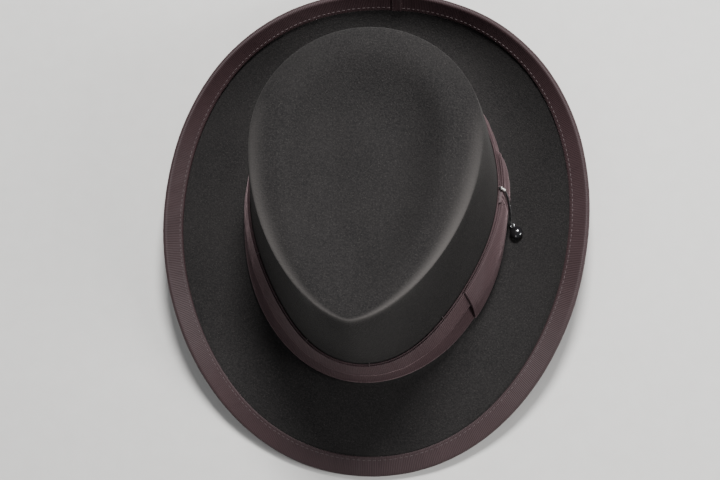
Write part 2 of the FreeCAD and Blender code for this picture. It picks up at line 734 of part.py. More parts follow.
# ---- Export -------------------------------------------------------------------------------------------------
for name, shape in made.items():
    shape.exportStep(f"parts/{name}.step")
print(len(made), "nodes")
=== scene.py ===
# %% [markdown]
# # A felt hat with a bound brim, a ribbon band and a wind cord
# This lesson builds one object, a dark felt fedora, on top of a model that already has its true size and its
# moving parts. That model is the frame: it says where each piece is, and every piece made here rides on it.
# The looks are made here: felt with a nap, ribbed ribbon, stitches, leather and satin.

# %% Load the frame
import math

import bpy
import numpy as np
from mathutils import Matrix, Vector


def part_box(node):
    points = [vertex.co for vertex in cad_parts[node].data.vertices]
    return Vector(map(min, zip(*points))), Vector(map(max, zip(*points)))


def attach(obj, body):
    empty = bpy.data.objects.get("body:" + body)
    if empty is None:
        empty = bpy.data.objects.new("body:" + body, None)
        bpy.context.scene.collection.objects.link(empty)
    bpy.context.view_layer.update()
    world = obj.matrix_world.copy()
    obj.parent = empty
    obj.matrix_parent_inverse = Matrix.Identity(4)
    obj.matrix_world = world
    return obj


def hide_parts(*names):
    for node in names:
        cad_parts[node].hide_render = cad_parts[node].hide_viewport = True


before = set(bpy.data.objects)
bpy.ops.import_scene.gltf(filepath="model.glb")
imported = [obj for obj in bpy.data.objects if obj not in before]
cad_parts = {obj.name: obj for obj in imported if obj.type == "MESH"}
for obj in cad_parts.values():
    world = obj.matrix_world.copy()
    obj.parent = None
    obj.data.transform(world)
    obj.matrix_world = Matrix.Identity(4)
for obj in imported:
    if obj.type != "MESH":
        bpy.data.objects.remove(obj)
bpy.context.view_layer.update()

# %% [markdown]
# ## The shape of the hat, in numbers
# A hatter blocks one piece of felt: the crown is an oval tube that narrows to a teardrop rim, its top is
# bashed in, two fingers pinch its front, and the brim is pressed to a curve. Each of these is one short
# formula of the turn round the hat: 0 degrees is the wearer's left, 90 the back, 180 the right and 270 the
# front. The lengths are in millimetres because a hatter thinks in them, and the last step turns them into
# Blender's metres.

# %% Driving dimensions
CROWN_HALF_LENGTH = 109.0
CROWN_HALF_WIDTH = 83.5
BRIM_REACH = {"front": 167.0, "back": 148.0}
BRIM_HALF_WIDTH = 136.0
BREAK_HEIGHT = 15.0
FELT = 2.2
EDGE_RISE = {"front": -16.0, "side": 21.5, "back": 26.0}
EDGE_CURL = {"front": 1.2, "side": 1.3, "back": 3.6}
EDGE_SWAY = 5.0
BRIM_SQUARENESS = 2.08
BREAK_RADIUS = 5.0
RIM_HALF_WIDTH = 70.5
RIM_CENTRE_Y = 22.0
RIM_FRONT = 118.0
RIM_BACK = 69.0
RIM_POINT = 1.3
RIM_HEIGHT = {"front": 106.5, "side": 101.5, "back": 104.0}
DENT_CENTRE_Y = 6.0
CENTRE_RING = 3.0
PINCH_TURN = 52.0
PINCH_REACH = 44.0
LEAN = 3.34                  # degrees that the hat leans back as it stands

# Up the wall: share of the height, share of the way in from foot to rim, and the same inside a pinch
WALL = ((0.09, 0.06, 0.10), (0.20, 0.16, 0.29), (0.32, 0.29, 0.49), (0.44, 0.40, 0.67), (0.56, 0.49, 0.83),
        (0.66, 0.56, 0.97), (0.74, 0.62, 1.08), (0.82, 0.70, 1.17), (0.89, 0.79, 1.18), (0.95, 0.89, 1.09),
        (0.985, 0.955, 1.02))
# The top rises from the rim over a soft shoulder to its crest, and the bash sinks inside that
CREST = {"front": 0.97, "side": 0.72, "back": 0.82}
SHOULDER = {"front": 1.0, "side": 5.0, "back": 5.0}
# Over the top: share of the way from crest to rim, share of the shoulder's fall, share of the crest's line,
# and the depth of the bash
TOP = ((1.0, 1.0, 1.0, 0.0), (0.72, 0.48, 1.0, 0.0), (0.38, 0.13, 1.0, 0.0), (0.0, 0.0, 1.0, 0.0),
       (0.0, 0.0, 0.91, 1.0), (0.0, 0.0, 0.80, 4.2), (0.0, 0.0, 0.68, 8.0), (0.0, 0.0, 0.54, 11.2),
       (0.0, 0.0, 0.40, 12.8), (0.0, 0.0, 0.26, 12.8), (0.0, 0.0, 0.12, 12.2))
BRIM_STATIONS = (0.08, 0.2, 0.35, 0.5, 0.64, 0.76, 0.85, 0.92, 0.96, 1.0)
COLUMNS = 72

RIBBON = 0.6
BAND_FOOT = 3.5
BAND_TOP = 33.0
OVERLAY_FOOT = 19.5
BINDING_WIDTH = 11.5
BAND_OUT = 0.9               # band's outer face, off the felt
BOW_TURN = 1.0
BOW_FRONT = 70.0
BOW_BACK = 30.0
KNOT_WIDTH = 12.5

# %% [markdown]
# The outlines are closed curves, so plain sines and cosines of the turn draw them. The rim is the only
# special one: raising the cosine to a power pulls its front half into the soft point that a teardrop crown
# has.

# %% Outlines and rings
def by_side(values, turn):
    s = np.sin(np.radians(turn))
    end = np.where(s > 0, values["back"], values["front"])
    return values["side"] + (end - values["side"]) * s * s


def foot_outline(turn, out=0.0):
    a = np.radians(turn)
    return (CROWN_HALF_WIDTH + out) * np.cos(a), (CROWN_HALF_LENGTH + out) * np.sin(a)


def rim_outline(turn):
    c, s = np.cos(np.radians(turn)), np.sin(np.radians(turn))
    front = np.sign(c) * np.abs(c) ** RIM_POINT
    x = RIM_HALF_WIDTH * np.where(s > 0, c, front)
    return x, RIM_CENTRE_Y + np.where(s > 0, RIM_BACK, RIM_FRONT) * s


def pinch(turn):
    from_front = np.abs((turn - 270.0 + 180.0) % 360.0 - 180.0)
    away = np.clip((from_front - PINCH_TURN) / PINCH_REACH, -1, 1)
    return np.cos(away * math.pi / 2) ** 2


def wall_ring(turn, height, reach, pinched_reach):
    fx, fy = foot_outline(turn)
    rx, ry = rim_outline(turn)
    share = reach + (pinched_reach - reach) * pinch(turn)
    z = BREAK_HEIGHT + height * (by_side(RIM_HEIGHT, turn) - by_side(SHOULDER, turn))
    return np.stack([fx + (rx - fx) * share, fy + (ry - fy) * share, z], -1)


def top_ring(turn, station, outline=1.0, lower=0.0):
    out, fall, inside, depth = station
    crest = by_side(CREST, turn)
    share = (crest + (1 - crest) * out) * inside * outline
    drop = by_side(SHOULDER, turn) * fall + depth + lower
    x, y = rim_outline(turn)
    cx, cy = CENTRE_RING * np.cos(np.radians(turn)), CENTRE_RING * np.sin(np.radians(turn))
    level = by_side(RIM_HEIGHT, turn) * share + RIM_HEIGHT["side"] * (1 - share)
    y = DENT_CENTRE_Y + (y - DENT_CENTRE_Y) * share + cy * (1 - share)
    return np.stack([x * share + cx * (1 - share), y, BREAK_HEIGHT + level - drop], -1)


def brim_point(turn, share):
    a = np.radians(turn)
    c, s = np.cos(a), np.sin(a)
    stretch = (np.abs(c) ** BRIM_SQUARENESS + np.abs(s) ** BRIM_SQUARENESS) ** (-1 / BRIM_SQUARENESS)
    long_reach = np.where(s > 0, BRIM_REACH["back"], BRIM_REACH["front"])
    ex, ey = BRIM_HALF_WIDTH * c * stretch, long_reach * s * stretch
    sx, sy = foot_outline(turn, BREAK_RADIUS)
    sway = EDGE_SWAY * np.sin(2 * a) ** 2 * np.sign(s)
    rise = (by_side(EDGE_RISE, turn) + sway) * np.maximum(share, 0) ** by_side(EDGE_CURL, turn)
    x, y = sx + (ex - sx) * share, sy + (ey - sy) * share
    return np.stack(np.broadcast_arrays(x, y, BREAK_HEIGHT + rise), -1)


def fillet_ring(turn, angle):
    a = math.radians(angle)
    x, y = foot_outline(turn, BREAK_RADIUS * (1 - math.sin(a)))
    return np.stack([x, y, np.full(len(turn), BREAK_HEIGHT + BREAK_RADIUS * (1 - math.cos(a)))], -1)


turns = np.arange(COLUMNS) * 360.0 / COLUMNS
control = [top_ring(turns, TOP[-1], outline=0.0)] + [top_ring(turns, station) for station in reversed(TOP)]
control += [wall_ring(turns, *station) for station in reversed(WALL)]
control += [fillet_ring(turns, angle) for angle in (90, 60, 30, 0)]
control += [brim_point(turns, share) for share in BRIM_STATIONS]
control = np.array(control)
RIM_ROW, FOOT_ROW = 1 + len(TOP), 1 + len(TOP) + len(WALL) + 3
SPANS = len(control) - 3
print("control rings:", control.shape[0], "of", COLUMNS, "points")

# %% [markdown]
# ## One smooth surface through the rings
# The rings are the control points of a B-spline surface, the kind of surface that a CAD program uses. Its
# formula is a weighted mean of nearby points, so the weights can be written once as two small tables, one up
# the hat and one round it, and numpy multiplies them out for as many points as a mesh needs.

# %% Spline weights
def clamped_weights(at, count, degree=3):
    """Weights of a clamped uniform B-spline at parameters from 0 to 1."""
    spans = count - degree
    knots = np.concatenate([np.zeros(degree), np.arange(spans + 1), np.full(degree, spans)]).astype(float)
    t = np.clip(np.asarray(at, float) * spans, 0, spans - 1e-9)[:, None]
    w = ((knots[:-1] <= t) & (t < knots[1:])).astype(float)
    for d in range(1, degree + 1):
        left, right = knots[d:-1] - knots[:-d - 1], knots[d + 1:] - knots[1:-d]
        a = np.divide(t - knots[:-d - 1], left, out=np.zeros_like(w[:, :-1]), where=left > 0)
        b = np.divide(knots[d + 1:] - t, right, out=np.zeros_like(w[:, 1:]), where=right > 0)
        w = a * w[:, :-1] + b * w[:, 1:]
    return w


def round_weights(turn):
    """Weights of a closed uniform B-spline at turns in degrees."""
    at = (np.asarray(turn, float) % 360.0) / 360.0 * COLUMNS
    i = np.floor(at).astype(int)
    t = at - i
    four = ((1 - t) ** 3 / 6, (3 * t**3 - 6 * t**2 + 4) / 6, (-3 * t**3 + 3 * t**2 + 3 * t + 1) / 6, t**3 / 6)
    w = np.zeros((len(at), COLUMNS))
    for step, part in zip((-1, 0, 1, 2), four):
        w[np.arange(len(at)), (i + step) % COLUMNS] += part
    return w


def surface(rings, rows, turn):
    """Points of the surface at row parameters and turns, as rows by turns by xyz."""
    return np.einsum("ri,ijk,cj->rck", clamped_weights(rows, len(rings)), rings, round_weights(turn))


def grid_normals(grid, closed=True):
    """Unit normals of a grid of points, outward for rows that run from the crown's top to the brim."""
    along = np.gradient(grid, axis=0)
    if closed:
        around = np.roll(grid, -1, axis=1) - np.roll(grid, 1, axis=1)
    else:
        around = np.gradient(grid, axis=1)
    n = np.cross(along, around)
    return n / np.maximum(np.linalg.norm(n, axis=-1, keepdims=True), 1e-9)


fine_turns = np.arange(1440) * 0.25
fine_rows = np.linspace(0, 1, 1201)
fine = surface(control, fine_rows, fine_turns)
fine_normals = grid_normals(fine)
print("fine surface:", fine.shape[:2], "height", round(float(np.ptp(fine[..., 2])), 1), "mm")

# %% [markdown]
# ## Places on the hat
# Ribbon, thread and lining all follow the felt at some small distance. Two helpers answer that for any turn:
# one for a place on the crown's wall at a height above the break, and one for a place on the brim at a
# distance in from the edge. A third turns a distance along the band into a turn, as a tape measure would.

# %% Places on the wall and on the brim
def sample(row, turn):
    """Point and normal at fractional rows and turns, mixed from the four nearest fine points."""
    col = (np.asarray(turn, float) % 360.0) / 0.25
    r0 = np.clip(np.floor(row).astype(int), 0, len(fine) - 2)
    c0 = np.floor(col).astype(int)
    a, b = (row - r0)[..., None], (col - c0)[..., None]
    c0, c1 = c0 % 1440, (c0 + 1) % 1440
    out = []
    for field in (fine, fine_normals):
        low = field[r0, c0] * (1 - b) + field[r0, c1] * b
        high = field[r0 + 1, c0] * (1 - b) + field[r0 + 1, c1] * b
        out.append(low * (1 - a) + high * a)
    return out[0], out[1] / np.linalg.norm(out[1], axis=-1, keepdims=True)


wall_start, wall_end = int(1200 * (RIM_ROW - 1) / SPANS), int(1200 * (FOOT_ROW - 1) / SPANS)
wall_levels = np.minimum.accumulate(fine[wall_start:wall_end, ::4, 2] - BREAK_HEIGHT)[::-1]
wall_row_numbers = np.arange(wall_start, wall_end)[::-1].astype(float)
level_steps = np.linspace(0.3, 92.0, 460)
row_at_level = np.stack([np.interp(level_steps, wall_levels[:, c], wall_row_numbers) for c in range(360)])


def on_wall(turn, height, out):
    """Places on the crown's wall, out millimetres off the felt."""
    turn, height, out = np.broadcast_arrays(*(np.asarray(v, float) for v in (turn, height, out)))
    k = np.clip((height - level_steps[0]) / (level_steps[1] - level_steps[0]), 0, len(level_steps) - 1.001)
    c = (turn % 360.0)
    c0, k0 = np.floor(c).astype(int), np.floor(k).astype(int)
    fc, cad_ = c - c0, k - k0
    low = row_at_level[c0 % 360, k0] * (1 - fc) + row_at_level[(c0 + 1) % 360, k0] * fc
    high = row_at_level[c0 % 360, k0 + 1] * (1 - fc) + row_at_level[(c0 + 1) % 360, k0 + 1] * fc
    p, n = sample(low * (1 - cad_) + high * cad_, turn)
    return p + n * out[..., None]


edge_shares = np.linspace(0.5, 1.0, 101)
edge_curve = np.array([brim_point(fine_turns, s) for s in edge_shares])
edge_in = np.cumsum(np.linalg.norm(np.diff(edge_curve[::-1], axis=0), axis=-1), axis=0)
edge_in = np.vstack([np.zeros(1440), edge_in])


def on_brim(turn, inset, out):
    """Places on the brim, inset millimetres in from its edge, out above its upper face."""
    turn, inset, out = np.broadcast_arrays(*(np.asarray(v, float) for v in (turn, inset, out)))
    col = np.round((turn % 360.0) / 0.25).astype(int) % 1440
    width = edge_in[40, col] / 0.2
    share = 1 - inset / width
    for _ in range(3):
        k = np.clip((1 - share) / 0.005, 0, 99.9)
        k0 = k.astype(int)
        here = edge_in[k0, col] * (1 - (k - k0)) + edge_in[k0 + 1, col] * (k - k0)
        share = share - (inset - here) / width
    p = brim_point(turn, share)
    along = brim_point(turn, share + 0.004) - brim_point(turn, share - 0.004)
    around = brim_point(turn + 0.5, share) - brim_point(turn - 0.5, share)
    n = np.cross(along, around)
    n /= np.linalg.norm(n, axis=-1, keepdims=True)
    return p + n * out[..., None]


foot_line = on_wall(fine_turns, BAND_FOOT, BAND_OUT)
foot_steps = np.linalg.norm(np.roll(foot_line, -1, axis=0) - foot_line, axis=1)
foot_length = np.concatenate([[0], np.cumsum(foot_steps)])
BAND_LENGTH = foot_length[-1]


def turn_at(distance):
    """The turn at a distance along the band from the bow's middle; towards the back is positive."""
    start = np.interp(BOW_TURN, np.append(fine_turns, 360.0), foot_length)
    return np.interp((start + np.asarray(distance, float)) % BAND_LENGTH, foot_length,
                     np.append(fine_turns, 360.0))


def along_band(distance, height, out):
    return on_wall(turn_at(distance), height, out)


print("band", round(BAND_LENGTH), "mm round, brim", round(float(edge_in[-1].mean() * 2)),
      "mm broad on the average")

# %% [markdown]
# ## Standing on the table
# The numbers above draw the hat level. A hat like this leans back when it stands, until the back of its break
# touches the table, so every point is turned by the lean and moved to where the frame has the felt.

# %% From hatter's millimetres to metres on the table
lean = math.radians(-LEAN)
LEAN_MATRIX = np.array([[1, 0, 0], [0, math.cos(lean), -math.sin(lean)], [0, math.sin(lean), math.cos(lean)]])
felt_low, felt_high = (np.array(corner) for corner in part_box("felt_body"))
leaned = fine.reshape(-1, 3) @ LEAN_MATRIX.T
SHIFT = np.array([0.0, 0.0, felt_high[2] * 1000 - leaned[:, 2].max()])
SHIFT[1] = (felt_low[1] + felt_high[1]) * 500 - (leaned[:, 1].min() + leaned[:, 1].max()) / 2


def to_table(points):
    return (np.asarray(points) @ LEAN_MATRIX.T + SHIFT) / 1000.0


print("moved by", np.round(SHIFT, 2), "mm")

# %% [markdown]
# ## The camera
# The camera stands high above the front of the hat and a little to the wearer's left, nearly straight over
# it, and it is rolled a quarter of the way round to the side, as when somebody leans over a hat on a shelf.
# A lens of about 71 mm from 90 cm away keeps the oval of the brim honest: a shorter lens would swell its
# near edge.

# %% Camera
AZIMUTH, ELEVATION, ROLL = math.radians(27.08), math.radians(75.331), math.radians(-23.66)
DISTANCE = 0.905075
back = Vector((math.sin(AZIMUTH) * math.cos(ELEVATION), -math.cos(AZIMUTH) * math.cos(ELEVATION),
               math.sin(ELEVATION)))
level = Vector((math.cos(AZIMUTH), math.sin(AZIMUTH), 0))
overhead = back.cross(level)
right = level * math.cos(ROLL) + overhead * math.sin(ROLL)
up = overhead * math.cos(ROLL) - level * math.sin(ROLL)
camera_data = bpy.data.cameras.new("camera")
camera_data.lens = 70.914
camera_data.sensor_width = 36
camera = bpy.data.objects.new("camera", camera_data)
place = back * DISTANCE - right * 0.006996 - up * 0.013034 + Vector((0, 0, 0.04))
camera.matrix_world = Matrix.Translation(place) @ Matrix((right, up, back)).transposed().to_4x4()
bpy.context.scene.collection.objects.link(camera)
bpy.context.scene.camera = camera
print("camera at", [round(c, 3) for c in place])

# %% [markdown]
# ## The wind cord
# A wind cord is a thin round elastic that runs under the ribbon; its free end carries a button, which is
# fixed to a coat's buttonhole when it blows. Here it comes out over the band's top edge, falls over the
# bow's knot and ends in a small loop just off the brim. A curve with a round bevel is the natural way to
# make a cord, and a NURBS spline of low order keeps close to the points that it is given.

# %% Cord
CORD_DIAMETER = 0.0012
CORD_ROUTE = ((80.3, 23.8, 42.8), (81.7, 23.4, 43.9), (84.2, 22.2, 42.6), (86.3, 18.8, 34.3),
              (87.3, 15.9, 26.4),
              (87.9, 12.9, 18.7), (88.2, 11.3, 13.7), (88.2, 9.6, 12.2))
POINT_RADIUS = 0.001         # a point's radius scales the bevel, and the curve's own box counts it in metres
cord_points = [Vector(point) / 1000 for point in CORD_ROUTE]
cord_data = bpy.data.curves.new("wind_cord_braid", "CURVE")
cord_data.dimensions = "3D"
cord_data.bevel_depth = CORD_DIAMETER / 2 / POINT_RADIUS
cord_data.bevel_resolution = 5
cord_data.resolution_u = 16
cord_data.use_fill_caps = True
spline = cord_data.splines.new("NURBS")
spline.points.add(len(cord_points) - 1)
for spline_point, point in zip(spline.points, cord_points):
    spline_point.co = (*point, 1.0)
    spline_point.radius = POINT_RADIUS
spline.order_u = 3
spline.use_endpoint_u = True
cord_object = bpy.data.objects.new("wind_cord_braid", cord_data)
bpy.context.scene.collection.objects.link(cord_object)
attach(cord_object, "hat")
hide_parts("wind_cord")
print("cord of", len(cord_points), "points,", CORD_DIAMETER * 1000, "mm thick")

# %% [markdown]
# ## Turning grids of points into pieces
# Nearly everything on a hat is a strip or a shell, so a grid of points says it all. One function turns a
# grid into a mesh with texture coordinates in metres, which lets a ribbon's ribs or a leather's grain keep
# their real size wherever they are.

# %% Mesh helpers
rng = np.random.default_rng(7)


def grid_faces(rows, columns, wrap_rows=False, wrap_columns=True):
    i, j = np.meshgrid(np.arange(rows if wrap_rows else rows - 1),
                       np.arange(columns if wrap_columns else columns - 1), indexing="ij")
    below, beside = (i + 1) % rows, (j + 1) % columns
    corners = [i * columns + j, i * columns + beside, below * columns + beside, below * columns + j]
    return np.stack(corners, -1).reshape(-1, 4)


def make_piece(name, points, faces, uv, material, slot, replaces=(), body="hat", leaned=True):
    """One mesh piece from points in millimetres, quads and texture coordinates in metres."""
    where = to_table(points) if leaned else np.asarray(points) / 1000.0
    faces = np.asarray(faces)
    a, b, c = where[faces[:, 0]], where[faces[:, 1]], where[faces[:, 2]]
    if np.einsum("ij,ij->i", a, np.cross(b, c)).sum() < 0:
        faces = faces[:, ::-1]
    mesh = bpy.data.meshes.new(name)
    mesh.vertices.add(len(where))
    mesh.vertices.foreach_set("co", where.astype(np.float32).ravel())
    mesh.loops.add(faces.size)
    mesh.loops.foreach_set("vertex_index", faces.astype(np.int32).ravel())
    mesh.polygons.add(len(faces))
    mesh.polygons.foreach_set("loop_start", np.arange(0, faces.size, faces.shape[1], dtype=np.int32))
    mesh.polygons.foreach_set("use_smooth", np.ones(len(faces), bool))
    mesh.update(calc_edges=True)
    mesh.validate()
    loops = np.asarray(uv)[faces].copy()
    total = np.ptp(loops[..., 0])
    across_seam = np.ptp(loops[..., 0], axis=1) > total / 2
    seam = loops[across_seam]
    seam[..., 0] = np.where(seam[..., 0] < total / 2 + loops[..., 0].min(), seam[..., 0] + total,
                            seam[..., 0])
    if abs(total) > 0.2:
        loops[across_seam] = seam
    layer = mesh.uv_layers.new(name="metres")
    layer.data.foreach_set("uv", loops.astype(np.float32).ravel())
    mesh.materials.append(material)
    piece = bpy.data.objects.new(name, mesh)
    bpy.context.scene.collection.objects.link(piece)
    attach(piece, body)
    if replaces:
        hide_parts(*replaces)
    return piece


def shell_between(upper, lower, closed, uv_u, uv_v):
    """Points, faces and texture coordinates of a sheet from its upper and lower grids, rows by columns."""
    rows, columns = upper.shape[:2]
    section = np.concatenate([upper, lower[::-1]])
    faces = grid_faces(2 * rows, columns, wrap_rows=True, wrap_columns=closed)
    if not closed:
        for column, flip in ((0, False), (columns - 1, True)):
            top_side = np.arange(rows - 1) * columns + column
            under = (2 * rows - 1 - np.arange(rows - 1)) * columns + column
            cap = np.stack([top_side, top_side + columns, under - columns, under], -1)
            faces = np.concatenate([faces, cap[:, ::-1] if flip else cap])
    uv = np.stack([np.broadcast_to(uv_u, (rows, columns)), np.broadcast_to(uv_v, (rows, columns))],
                  -1) / 1000.0
    return section.reshape(-1, 3), faces, np.concatenate([uv, uv[::-1]]).reshape(-1, 2)


def waves(turn, seed, count=9, lowest=2, highest=22):
    """A smooth wobble round the hat, about -1 to 1, that closes on itself."""
    pick = np.random.default_rng(seed)
    rates, phases = pick.integers(lowest, highest, count), pick.uniform(0, 2 * math.pi, count)
    sizes = pick.uniform(0.5, 1.0, count) / rates**0.5
    a = np.radians(turn)
    return sum(s * np.cos(r * a + p) for s, r, p in zip(sizes, rates, phases)) / sizes.sum() * 1.6


# %% [markdown]
# ## Finishes from a few nodes
# A finish is a small circuit: texture coordinates, one or two noises or waves, and a shader. A helper that
# makes a node, sets its values and links its inputs keeps each circuit to a few readable lines.

# %% Material helpers
class Finish:
    """A material whose nodes are made one line at a time."""

    def __init__(self, name):
        self.material = bpy.data.materials.new(name)
        self.material.use_nodes = True
        self.tree = self.material.node_tree
        self.tree.nodes.clear()

    def node(self, kind, out=0, settings=(), **inputs):
        made = self.tree.nodes.new("ShaderNode" + kind)
        for key, value in dict(settings).items():
            setattr(made, key, value)
        for key, value in inputs.items():
            name = key.replace("_", " ")
            socket = made.inputs[int(key[1:])] if key[0] == "i" and key[1:].isdigit() else made.inputs[name]
            if isinstance(value, bpy.types.NodeSocket):
                self.tree.links.new(value, socket)
            else:
                socket.default_value = value
        return made.outputs[out]

    def metres(self):
        return self.node("UVMap", settings={"uv_map": "metres"})

    def place(self):
        return self.node("TexCoord", out=3)

    def mix(self, share, a, b):
        return self.node("Mix", out=2, settings={"data_type": "RGBA"}, i0=share, i6=a, i7=b)

    def scale(self, value, low, high):
        """Maps 0 to 1 onto low to high."""
        return self.node("MapRange", Value=value, To_Min=low, To_Max=high)

    def math(self, operation, a, b=0.0):
        return self.node("Math", settings={"operation": operation}, i0=a, i1=b)

    def bump(self, height, distance, strength=1.0, below=None):
        extra = {"Normal": below} if below is not None else {}
        return self.node("Bump", Height=height, Distance=distance, Strength=strength, **extra)

    def surface(self, **inputs):
        shader = self.node("BsdfPrincipled", **inputs)
        output = self.tree.nodes.new("ShaderNodeOutputMaterial")
        self.tree.links.new(shader, output.inputs["Surface"])
        return self.material


def rgb(r, g, b):
    return (r, g, b, 1.0)


# %% [markdown]
# ### Felt
# Fur felt has no weave: it is a mat of fine fibres with a short nap. From arm's length it looks matt and
# even, with a soft bloom where the surface turns away, because the nap catches light edge on. That bloom is
# what the sheen layer is for. Two sizes of noise make the mat and its slow clouds, and a third, very fine
# one gives the stray pale fibres. A painted highlight lightens the colour along the crest of the crown's
# front: a share that is stored with the felt's points says where.

# %% Felt
def felt_finish():
    f = Finish("fur_felt")
    here = f.place()
    mat = f.node("TexNoise", Vector=here, Scale=900.0, Detail=3.0, Roughness=0.6)
    clouds = f.node("TexNoise", Vector=here, Scale=24.0, Detail=3.0, Roughness=0.5)
    fibres = f.node("TexNoise", Vector=here, Scale=2300.0, Detail=1.0)
    flecks = f.node("MapRange", Value=fibres, From_Min=0.60, From_Max=0.74)
    ground = f.mix(f.node("MapRange", Value=clouds, From_Min=0.35, From_Max=0.65),
                   rgb(0.0058, 0.0054, 0.0055),
                   rgb(0.0088, 0.0081, 0.0080))
    mottle = f.node("MapRange", Value=mat, From_Min=0.38, From_Max=0.62)
    matted = f.mix(f.scale(mottle, 0.0, 0.75), ground, rgb(0.0165, 0.0150, 0.0147))
    # Painted highlight: the felt's colour is mixed lighter along the crest of the crown's front, where light
    # catches the ridge
    ridge_lit_colour = f.mix(f.scale(f.node("Attribute", out=2, settings={"attribute_name": "ridge_highlight"}), 0.0, 0.8), matted,
                   rgb(0.075, 0.069, 0.066))
    colour = f.mix(f.scale(flecks, 0.0, 0.55), ridge_lit_colour, rgb(0.062, 0.057, 0.053))
    nap = f.bump(mat, 0.00045, 0.8, f.bump(clouds, 0.0006, 0.25))
    return f.surface(Base_Color=colour, Roughness=0.88, Specular_IOR_Level=0.17, Normal=nap,
                     Sheen_Weight=0.035, Sheen_Roughness=0.45, Sheen_Tint=rgb(0.64, 0.60, 0.57))


FELT_FINISH = felt_finish()

# %% [markdown]
# ### Grosgrain
# Grosgrain is a ribbon with a heavy weft: ribs run straight across it, a millimetre apart, and a fine smooth
# warp covers them. A wave in the texture's length direction makes the ribs, a finer one across makes the
# warp, and the selvage at each edge is a dense, slightly shiny line. The dye takes unevenly, which a slow
# noise shows.

# %% Grosgrain
def grosgrain_finish(name, dark, light, pitch=0.00115, depth=0.00020, sheen=0.25):
    f = Finish(name)
    here = f.metres()
    along = f.node("SeparateXYZ", out=0, Vector=here)
    across = f.node("SeparateXYZ", out=1, Vector=here)
    drift = f.node("TexNoise", Vector=f.place(), Scale=160.0, Detail=2.0)
    bent = f.math("ADD", along, f.math("MULTIPLY", drift, pitch * 0.55))
    ribs = f.math("SINE", f.math("MULTIPLY", bent, 2 * math.pi / pitch))
    warp = f.math("SINE", f.math("MULTIPLY", across, 2 * math.pi / 0.00034))
    ribs01 = f.node("MapRange", Value=ribs, From_Min=-1.0, From_Max=1.0)
    warp01 = f.node("MapRange", Value=warp, From_Min=-1.0, From_Max=1.0)
    clouds = f.node("TexNoise", Vector=f.place(), Scale=60.0, Detail=4.0, Roughness=0.6)
    blend = f.math("ADD", f.math("MULTIPLY", ribs01, 0.55), f.math("MULTIPLY", clouds, 0.45))
    colour = f.mix(blend, dark, light)
    weave = f.bump(warp01, 0.00003, 0.5, f.bump(ribs01, depth, 0.75))
    return f.surface(Base_Color=colour, Roughness=0.62, Specular_IOR_Level=0.3, Normal=weave,
                     Sheen_Weight=sheen, Sheen_Roughness=0.3, Sheen_Tint=rgb(0.85, 0.62, 0.64),
                     Anisotropic=0.35)


BINDING_FINISH = grosgrain_finish("brim_grosgrain", rgb(0.0165, 0.0082, 0.0090), rgb(0.040, 0.0215, 0.0235))
BAND_FINISH = grosgrain_finish("band_grosgrain", rgb(0.027, 0.0150, 0.0166), rgb(0.070, 0.041, 0.0445))

# %% [markdown]
# ### Thread, elastic, metal, plastic, leather, tape and satin
# The small things each need one clear idea. Thread has a twist, elastic a braid. A button of black plastic
# is nearly a mirror under a clear coat, so it only needs to be smooth. Leather is a cell texture pressed
# into a soft surface, and satin is a cloth whose long floats stretch its highlight sideways.

# %% Small finishes
def twisted_finish(name, dark, light, pitch, roughness, depth):
    f = Finish(name)
    here = f.metres()
    along, across = f.node("SeparateXYZ", out=0, Vector=here), f.node("SeparateXYZ", out=1, Vector=here)
    turned = f.math("ADD", f.math("MULTIPLY", along, 2 * math.pi / pitch),
                    f.math("MULTIPLY", across, 2 * math.pi))
    twist = f.node("MapRange", Value=f.math("SINE", turned), From_Min=-1.0, From_Max=1.0)
    return f.surface(Base_Color=f.mix(twist, dark, light), Roughness=roughness,
                     Normal=f.bump(twist, depth, 0.7),
                     Sheen_Weight=0.2, Sheen_Roughness=0.4)


def braid_finish():
    f = Finish("elastic_braid")
    cells = f.node("TexVoronoi", Vector=f.place(), Scale=2100.0)
    return f.surface(Base_Color=f.mix(cells, rgb(0.016, 0.015, 0.016), rgb(0.006, 0.006, 0.006)),
                     Roughness=0.5,
                     Normal=f.bump(cells, 0.0001, 0.6), Sheen_Weight=0.3, Sheen_Roughness=0.3)


def metal_finish(name, colour, roughness):
    f = Finish(name)
    marks = f.node("TexNoise", Vector=f.place(), Scale=700.0, Detail=2.0)
    return f.surface(Base_Color=colour, Metallic=1.0,
                     Roughness=f.scale(marks, roughness * 0.8, roughness * 1.3))


def button_finish():
    f = Finish("black_button")
    marks = f.node("TexNoise", Vector=f.place(), Scale=260.0, Detail=2.0)
    return f.surface(Base_Color=rgb(0.006, 0.006, 0.0065), Roughness=f.scale(marks, 0.10, 0.19),
                     Coat_Weight=0.6,
                     Coat_Roughness=0.05)


def leather_finish():
    f = Finish("sweatband_leather")
    here = f.place()
    grain = f.node("TexVoronoi", settings={"feature": "DISTANCE_TO_EDGE"}, Vector=here, Scale=620.0)
    pores = f.node("MapRange", Value=grain, From_Min=0.0, From_Max=0.12)
    wear = f.node("TexNoise", Vector=here, Scale=30.0, Detail=4.0)
    colour = f.mix(wear, rgb(0.020, 0.0145, 0.0125), rgb(0.046, 0.033, 0.028))
    return f.surface(Base_Color=colour, Roughness=f.scale(wear, 0.42, 0.6),
                     Normal=f.bump(pores, 0.00012, 0.5),
                     Coat_Weight=0.08, Coat_Roughness=0.3)


